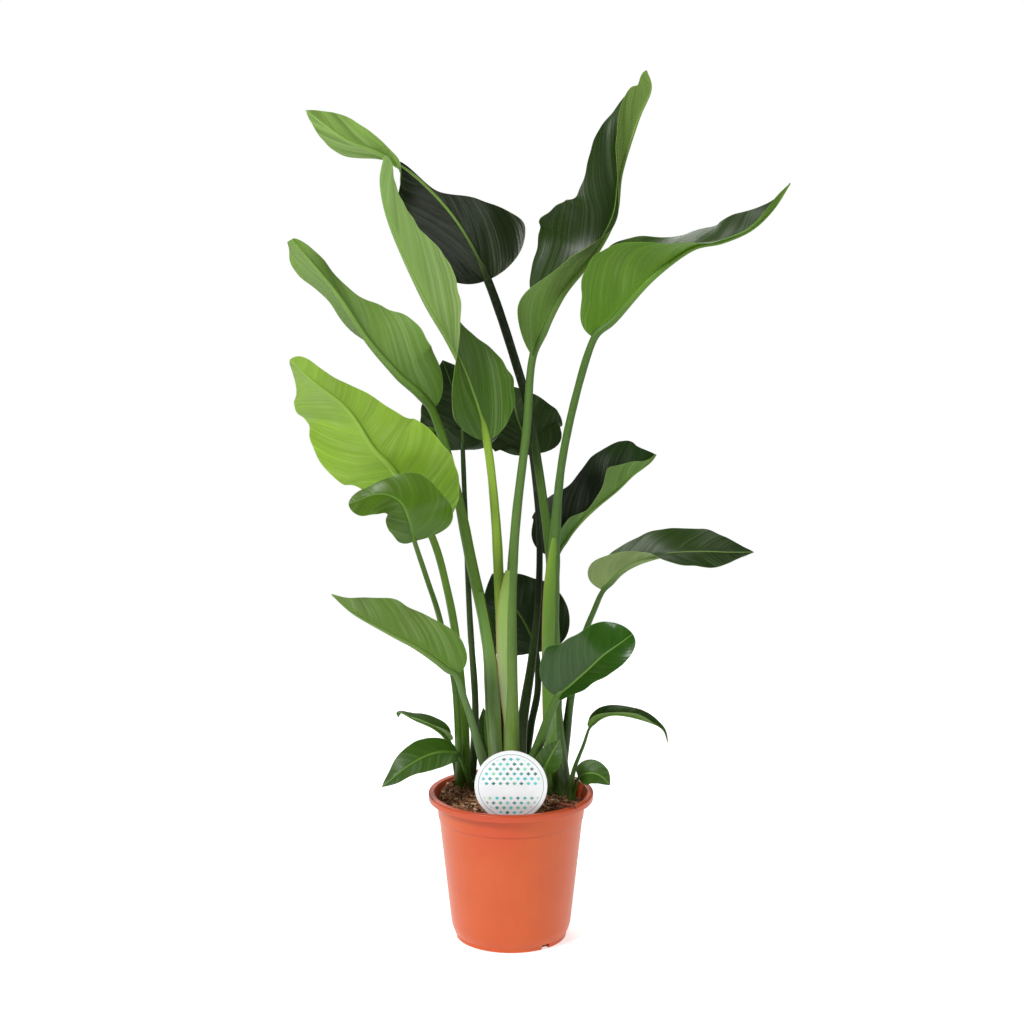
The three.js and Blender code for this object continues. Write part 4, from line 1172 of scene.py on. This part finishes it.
def make_root():
    """The reddish root that crosses the soil and the rim, with two thinner strands on it."""
    body = Body()
    for strand, thick in enumerate((FIBRE_RADIUS, 1.1, 0.8)):
        shares = np.linspace(0.02 + 0.05 * strand, 0.98 - 0.07 * strand, 34)
        centres, tangents, _ = follow(np.array(FIBRE_PATH, float), 0, len(FIBRE_PATH) - 1, shares)
        side = unit(np.cross(tangents, (0, 0, 1)))
        sway = ripple(shares * 9, shares * 3 + strand, 20 + strand)
        centres = centres + side * (sway[:, None] * 0.5 + (0, 2.2, -2.0)[strand])
        centres[:, 2] += (0, 0.2, -0.3)[strand]
        knots = thick * (0.85 + 0.18 * ripple(shares * 30, shares, 30 + strand))
        radii = np.maximum(knots * smooth(1.05, 0.75, shares), 0.25)
        tube(body, centres, unit(np.gradient(centres, axis=0)), radii, UP, 0, 10)
    piece("rim_root", body, [finish("root_bark", root_bark)], 60, "bark", "root_fibre")


# ---------------------------------------------------------------- label

def make_label():
    body = Body()
    x, y, z = LABEL_CENTRE
    half = LABEL_THICKNESS / 2
    profile = fillet([
        (0.4, -half), (LABEL_RADIUS, -half, 0.45), (LABEL_RADIUS, half, 0.45), (0.4, half),
    ])
    angle = np.linspace(0, 2 * math.pi, 129)
    radius, depth = profile[:, :1], np.repeat(profile[:, 1:], 129, 1)
    board = np.stack([radius * np.cos(angle), depth, radius * np.sin(angle)], -1)
    grain = board[..., (0, 2)] * MM
    front = np.where(np.arange(len(profile) - 1)[:, None] < 1, 0, 1) * np.ones((1, 128), int)
    body.grid(board[:, :-1] + (x, y, z), grain, grain, front)
    side, face = STAKE_WIDTH / 2, STAKE_THICKNESS / 2
    corners = fillet([
        (-side, -face), (-side, -face), (side, -face, 0.4), (side, face, 0.4),
        (-side, face, 0.4), (-side, -face),
    ], 3)[:-1]
    levels = np.array([STAKE_BOTTOM, STAKE_BOTTOM + 8, 150, z - LABEL_RADIUS + 2])
    narrow = np.array([0.25, 1, 1, 1])
    rows = np.stack([
        x + corners[None, :, 0] * narrow[:, None], y + np.repeat(corners[None, :, 1], 4, 0),
        np.repeat(levels[:, None], len(corners), 1),
    ], -1)
    closed = np.concatenate([rows, rows[:, :1]], 1)[..., (0, 2)] * MM
    body.grid(rows, closed, closed, 1)
    materials = [finish("label_print", label_board), finish("label_card", label_back)]
    piece("round_label", body, materials, 35, "label_board", "plant_label")


# ---------------------------------------------------------------- stalks

STALK_OVERLAP = 1.2
STALK_UNEVENNESS = 0.025


def leaf_line(leaf):
    """The line of a leaf from inside the soil to its tip, and the number of its blade's first point."""
    x, y, _ = SHOOTS[leaf["shoot"]]
    foot = leaf["stalk"][0]
    root = (x + (foot[0] - x) * 0.5, y + (foot[1] - y) * 0.5, CROWN_BOTTOM + 6)
    return np.array([root, *leaf["stalk"], *leaf["midrib"]], float), len(leaf["stalk"]) + 1


def stalk_run(leaf, shares):
    """Centres, directions, radii and the side of the channel, at shares of the stalk."""
    line, blade_from = leaf_line(leaf)
    centres, tangents, length = follow(line, 0, blade_from, shares)
    radii = catmull(np.array(leaf["radii"])[:, None], shares)[:, 0]
    x, y, _ = SHOOTS[leaf["shoot"]]
    foot = np.array(leaf["stalk"][0], float)
    inward = np.array([x - foot[0], y - foot[1], 0.0]) + (0.01, -2.0, 0)
    inward = np.array([*leaf["opening"], 0.0]) if "opening" in leaf else unit(inward)
    top = unit(np.array(leaf["upper"][0], float))
    turn = smooth(0.1, 0.9, shares)
    start = math.atan2(inward[1], inward[0])
    swing = (math.atan2(top[1], top[0]) - start + math.pi) % (2 * math.pi) - math.pi
    heading = start + swing * turn
    level = 1 + (math.hypot(top[0], top[1]) - 1) * turn
    facing = np.stack([level * np.cos(heading), level * np.sin(heading), top[2] * turn], -1)
    return centres, tangents, radii, unit(facing), length


def stalk_look(name):
    """Three colours of a stalk, and the other settings of its skin."""
    look = dict(STALKS.get(name, STALK))
    return look.pop("colours"), look


def make_stalks(shoot):
    body = Body()
    materials = []
    for name, leaf in LEAVES.items():
        if leaf["shoot"] != shoot:
            continue
        length = stalk_run(leaf, np.array([0.0, 1.0]))[-1]
        shares = np.linspace(0, 1 + STALK_OVERLAP / length, max(10, int(length / 6)))
        centres, tangents, radii, facing, _ = stalk_run(leaf, np.minimum(shares, 1))
        centres[-1] += tangents[-1] * STALK_OVERLAP
        channel = 0.05 + 0.17 * smooth(0.35, 0.95, shares)
        swell = ripple(centres[:, 2] / 9, centres[:, 0] / 9, 7 + int(name[-2:]))
        girth = radii * (1 + STALK_UNEVENNESS * swell)
        colours, settings = stalk_look(name)
        materials.append(finish("stalk_skin_" + name[-2:], stalk_skin(*colours, **settings)))
        tube(body, centres, tangents, girth, facing, len(materials) - 1, 24, channel)
        if name in SHEATHS:
            materials.append(finish("sheath_skin_" + name[-2:], sheath_skin(*SHEATHS[name]["colours"])))
            add_sheath(body, leaf, SHEATHS[name], len(materials) - 1)
    piece("leaf_stalks_" + shoot, body, materials, 50, "stalk", "stalks_" + shoot)


def add_sheath(body, leaf, sheath, finish_number):
    """The thin wing of a stalk's foot, from the stalk's flank round to its free papery margin."""
    rows, columns = 70, 16
    margin = catmull(sheath["margin"], np.linspace(0, 1, rows))
    shares = np.linspace(0, 1, 400)
    line = stalk_run(leaf, shares)[0]
    at = np.interp(margin[:, 2], line[:, 2], shares)
    centres, _, radii, _, _ = stalk_run(leaf, at)
    side = unit((margin - centres) * (1, 0, 0))
    start = centres - side * (radii * 0.75)[:, None] + (0, -1, 0) * (radii * 0.5)[:, None]
    front = centres + (0, -1.0, 0) * (radii + 1.6)[:, None]
    front[:, 1] = np.minimum(front[:, 1], margin[:, 1] - 1.0)
    front = front + side * (radii * 0.1)[:, None]
    across = np.linspace(0, 1, columns)
    out = across[None, :, None]
    outer = arc(start[:, None], front[:, None], margin[:, None], out)
    inward = unit(np.cross(np.gradient(outer, axis=0), np.gradient(outer, axis=1)))
    inward = inward * np.sign(np.sum(inward * (0, 1, 0), -1, keepdims=True) + 1e-9)
    inner = outer + inward * (0.9 - 0.5 * out)
    rings = np.concatenate([outer, inner[:, ::-1]], 1)
    out_place = np.concatenate([across, across[::-1], across[:1]])
    climb = np.linspace(0, 1, rows)[:, None]
    place = np.stack(np.broadcast_arrays(climb, out_place[None]), -1)
    height = np.ptp(margin[:, 2]) * MM
    grain = np.stack(np.broadcast_arrays(out_place[None] * 0.02, climb * height), -1)
    body.grid(rings, grain, place, finish_number)


# The free margin of each sheath, from the soil upwards, and its colours there and at its top
SHEATHS = {
    "leaf_03": dict(
        margin=((-2, -13, 190), (-4, -15, 225), (-8, -16, 275), (-14, -17, 325), (-18, -18, 375),
                (-18, -18, 415), (-14, -19, 450), (-7, -20, 480)),
        colours=((150, 166, 112), (136, 170, 78)),
    ),
    "leaf_05": dict(
        margin=((-9, -10, 190), (-10, -11, 225), (-12, -12, 270), (-14, -13, 320), (-19, -12, 365),
                (-26, -9, 405), (-35, -6, 450)),
        colours=((98, 126, 54), (96, 138, 54)),
    ),
    "leaf_04": dict(
        margin=((42, 12, 230), (40, 9, 290), (39, 7, 350), (39, 4, 410), (42, 0, 465), (51, -3, 518)),
        colours=((84, 128, 30), (114, 154, 46)),
    ),
}


# ---------------------------------------------------------------- leaves

# Rows and columns of a blade's mesh: the columns crowd towards the midrib
BLADE_STEP = 2.4
SIDE_COLUMNS = 27
CROWDING = 1.2
# Outline: how square its foot and its tip are, and how narrow the blade may get
FOOT_SQUARENESS = 2.4
TIP_SQUARENESS = 1.8
NECK_SHARE = 0.8
NECK_LENGTH = 0.12
TIP_HALF_WIDTH = 0.8
RAGGEDNESS = 0.02
LOBE_END = 0.22
LOBE_REACH = 1.2
LOBE_BEND = 1.5
# Cross-section: how far a half curls up from its fold, until it is folded so far that it is straight
WAVES_OUT_OF_STEP = 1.3
CURL = 0.28
STRAIGHT_FOLD = 1.6
THICKNESS = 0.8
# Veins: how far they sweep forward evenly, and more towards the margin
EVEN_SWEEP = 0.85
LATE_SWEEP = 0.3
# Relief of the upper face
RIB_SPACING = 2.8
RIB_HEIGHT = 0.34
SWELL_HEIGHT = 1.5
GROOVE_WIDTH = 1.7
GROOVE_DEPTH = 0.8
RELIEF_FADE_WIDTH = 12
# Underside of the midrib
RIB_TIP_RADIUS = 0.55
RIB_TURNS = (0.02, 0.3, 0.95)


def outline(share, widest, taper):
    """How wide a blade is at a share of its length, where 1 is its widest."""
    before = np.clip((widest - share) / widest, 0, 1)
    after = np.clip((share - widest) / (1 - widest), 0, 1)
    foot = (1 - before**FOOT_SQUARENESS) ** 0.5
    return np.where(share < widest, foot, (1 - after**TIP_SQUARENESS) ** taper)


def blade_surface(leaf, shares, out, number, sweep):
    """The upper face of a blade.

    Gives its points, where each one's vein leaves the midrib, how far it lies from the midrib, how
    wide its half is there, and the midrib's points and the way that the face looks at them."""
    line, blade_from = leaf_line(leaf)
    spine, tangents, length = follow(line, blade_from, len(line) - 1, shares)
    upper = catmull(leaf["upper"], shares)
    upper = unit(upper - tangents * np.sum(upper * tangents, -1, keepdims=True))
    right = np.cross(tangents, upper)
    folds = catmull(leaf["fold"], shares)
    stalk_radius = leaf["radii"][-1]
    neck = NECK_SHARE * stalk_radius * np.maximum(1 - shares / NECK_LENGTH, 0)
    half = leaf["half"] * outline(shares, leaf["widest"], leaf["taper"])
    away = np.abs(out)[None]
    side = np.sign(out)[None]
    spread = catmull(leaf.get("spread", ((1, 1),)), shares)
    half = half[:, None] * np.where(side < 0, spread[:, :1], spread[:, 1:])
    half = np.maximum(np.maximum(half, neck[:, None]), TIP_HALF_WIDTH)
    tatters = ripple(shares[:, None] * length / 6, side * 3, number)
    ragged = 1 + RAGGEDNESS * smooth(0.6, 1, away) * tatters
    lift = np.radians(np.where(side < 0, folds[:, :1], folds[:, 1:]))
    height, count = leaf["wave"]
    phase = 2 * math.pi * count * shares[:, None] + np.where(side > 0, WAVES_OUT_OF_STEP, 0)
    wave = height * away**2 * np.sin(phase) * np.minimum(1, 2 * half / leaf["half"])
    curl = CURL * lift * np.clip(1 - np.abs(lift) / STRAIGHT_FOLD, 0, 1)
    bent = lift + curl * (1 - 2 * away)
    reach = np.zeros((len(shares), len(out), 2))
    middle = len(out) // 2
    for way in (1, -1):
        for column in range(middle + way, middle + way * (middle + 1), way):
            last = column - way
            gap = abs(out[column] - out[last])
            angle = (bent[:, column] + bent[:, column if last == middle else last]) / 2
            reach[:, column, 0] = reach[:, last, 0] + gap * np.cos(angle)
            reach[:, column, 1] = reach[:, last, 1] + gap * np.sin(angle)
    sideways = half * reach[..., 0] * ragged - wave * np.sin(lift)
    upwards = half * reach[..., 1] * ragged + wave * np.cos(lift)
    fullness = LOBE_REACH * half * away / leaf["half"]
    lobe = leaf["lobe"] * np.maximum(1 - shares / LOBE_END, 0)[:, None] ** 2 * (shares > 0)[:, None]
    back = lobe * fullness**LOBE_BEND
    points = (
        spine[:, None] + right[:, None] * (side * sideways)[..., None]
        + upper[:, None] * upwards[..., None] - tangents[:, None] * back[..., None]
    )
    from_rib = half * away
    lean = EVEN_SWEEP * from_rib + LATE_SWEEP * half * away**3
    vein = shares[:, None] * length - sweep * lean
    return points, vein, from_rib * side, half, spine, upper


def surface_normals(points):
    down = np.gradient(points, axis=0)
    over = np.gradient(points, axis=1)
    return unit(np.cross(over, down))


def make_leaf(name, leaf):
    number = int(name[-2:])
    look = LOOKS.get(name, GREEN)
    line, blade_from = leaf_line(leaf)
    length = follow(line, blade_from, len(line) - 1, np.array([0.0, 1.0]))[-1]
    even = np.linspace(0, 1, int(length / BLADE_STEP))
    even = 0.65 * even + 0.175 * (1 - np.cos(math.pi * even))
    ends = np.array([0.0008, 0.002, 0.0035])
    shares = np.unique(np.concatenate([even, ends, 1 - ends]))
    one_side = (np.arange(1, SIDE_COLUMNS + 1) / SIDE_COLUMNS) ** CROWDING
    out = np.concatenate([-one_side[::-1], [0], one_side])
    points, vein, across, half, spine, upper = blade_surface(leaf, shares, out, number, look["sweep"])
    normals = surface_normals(points)
    away = np.abs(out)[None]
    foot_in = smooth(0, 0.05, shares)[:, None]
    pitch = RIB_SPACING * vein_pitch(look["sweep"])
    coarse = np.abs(np.gradient(vein, axis=1)) / pitch
    ribs = ripple(vein / pitch, across / 140, 40 + number)
    ribs = ribs * smooth(0.02, 0.3, away) * (1 - 0.5 * away**2) * foot_in * smooth(1.2, 0.5, coarse)
    swell = ripple(vein / (4 * pitch), across / 60, 60 + number) * away * foot_in
    groove = np.exp(-((across / GROOVE_WIDTH) ** 2)) * (1 - 0.8 * shares[:, None])
    relief = RIB_HEIGHT * look["ribbing"] * ribs + SWELL_HEIGHT * swell
    relief = relief - GROOVE_DEPTH * groove * foot_in
    relief = relief * np.minimum(1, half / RELIEF_FADE_WIDTH)
    points = points + normals * relief[..., None]
    thick = THICKNESS * (1 - 0.5 * away**3)
    lower = points - normals * thick[..., None]
    rings = np.concatenate([points, lower[:, ::-1]], 1)
    columns = len(out)
    both = np.concatenate([np.arange(columns), np.arange(columns)[::-1], [0]])
    grain = np.stack([vein, across], -1)[:, both] * MM
    place = np.stack(np.broadcast_arrays(shares[:, None], out[None]), -1)[:, both]
    finish_number = np.array([0] * (columns - 1) + [1] * (columns + 1))
    body = Body()
    body.grid(rings, grain, place, finish_number)
    thin = leaf["radii"][-1] * (1 - shares) ** 0.8 * 0.92 + RIB_TIP_RADIUS
    thin[0] = leaf["radii"][-1]
    sink = smooth(0, 0.09, shares) * (thin - 0.2)
    inner = slice(0, -3)
    centres = (spine - upper * sink[:, None])[inner]
    tube(
        body, centres, unit(np.gradient(centres, axis=0)), thin[inner], upper[inner], 2, 14,
        0.2 * smooth(0.1, 0, shares[inner]), shares[inner],
    )
    foot, middle, tip = look["lower"]
    stalk_top = look.get("rib", stalk_look(name)[0][2])
    rib_skin = stalk_skin(stalk_top, lighter(middle), lighter(tip), RIB_TURNS, bloom=0.0)
    materials = [
        finish("upper_face_" + name[-2:], leaf_face(*look["upper"], look)),
        finish("underside_" + name[-2:], leaf_face(foot, middle, tip, look, under=True)),
        finish("midrib_" + name[-2:], rib_skin),
    ]
    piece("blade_" + name[-2:], body, materials, 55, "leaf", name)


# ---------------------------------------------------------------- studio

FLOOR_GLOW = 0.58
# The room's light on the plant, what more the camera sees of it, and what less a mirrored ray sees
ROOM_LIGHT = 0.26
BACKDROP_LIGHT = 0.74
MIRRORED_LOSS = 0.14
# Place, aim, size and power of each lamp
LAMPS = {
    "key": ((-1.6, -1.8, 2.3), (0, 0, 0.55), 0.7, 66),
    "fill": ((2.2, -1.7, 1.3), (0, 0, 0.5), 1.2, 14),
    "back": ((-0.4, 2.0, 2.0), (0, 0, 0.6), 1.5, 30),
}
CAMERA_PLACE = (0.0013, -2.6, 1.0)
CAMERA_DIP = 9.82
LENS = 74.57
SENSOR_WIDTH = 36


def make_studio():
    floor_mesh = bpy.data.meshes.new("floor")
    shape = bmesh.new()
    bmesh.ops.create_grid(shape, x_segments=4, y_segments=4, size=1.6)
    shape.to_mesh(floor_mesh)
    shape.free()
    floor = bpy.data.objects.new("floor", floor_mesh)
    floor.location.z = -0.0004
    bpy.context.scene.collection.objects.link(floor)
    made = bpy.data.materials.new("pale_floor")
    made.use_nodes = True
    shader = made.node_tree.nodes["Principled BSDF"]
    shader.inputs["Base Color"].default_value = (0.9, 0.9, 0.9, 1)
    shader.inputs["Roughness"].default_value = 0.8
    shader.inputs["Emission Color"].default_value = (1, 1, 1, 1)
    shader.inputs["Emission Strength"].default_value = FLOOR_GLOW
    floor_mesh.materials.append(made)

    world = bpy.data.worlds.new("studio")
    bpy.context.scene.world = world
    world.use_nodes = True
    room = Shade(world.node_tree)
    world.node_tree.nodes.clear()
    seen = room.node("LightPath", None, None, "Is Camera Ray")
    mirrored = room.node("LightPath", None, None, "Is Glossy Ray")
    strength = seen * BACKDROP_LIGHT + ROOM_LIGHT - mirrored * MIRRORED_LOSS
    back = room.node("Background", None, {"Color": (1, 1, 1, 1), "Strength": strength})
    out = world.node_tree.nodes.new("ShaderNodeOutputWorld")
    world.node_tree.links.new(back.socket, out.inputs["Surface"])

    for name, (place, aim, size, power) in LAMPS.items():
        lamp = bpy.data.lights.new(name, "AREA")
        lamp.shape, lamp.size, lamp.energy = "SQUARE", size, power
        light = bpy.data.objects.new(name, lamp)
        light.location = place
        light.rotation_euler = (Vector(aim) - Vector(place)).to_track_quat("-Z", "Y").to_euler()
        bpy.context.scene.collection.objects.link(light)

    camera = bpy.data.objects.new("camera", bpy.data.cameras.new("camera"))
    camera.location = CAMERA_PLACE
    camera.rotation_euler = (math.radians(90 - CAMERA_DIP), 0, 0)
    camera.data.lens = LENS
    camera.data.sensor_width = SENSOR_WIDTH
    bpy.context.scene.collection.objects.link(camera)
    bpy.context.scene.camera = camera
    bpy.context.scene.view_settings.view_transform = "Standard"


make_pot()
make_soil()
make_chips()
make_fibres()
make_root()
make_label()
for shoot_name in SHOOTS:
    make_stalks(shoot_name)
for leaf_name, leaf_table in LEAVES.items():
    make_leaf(leaf_name, leaf_table)
make_studio()
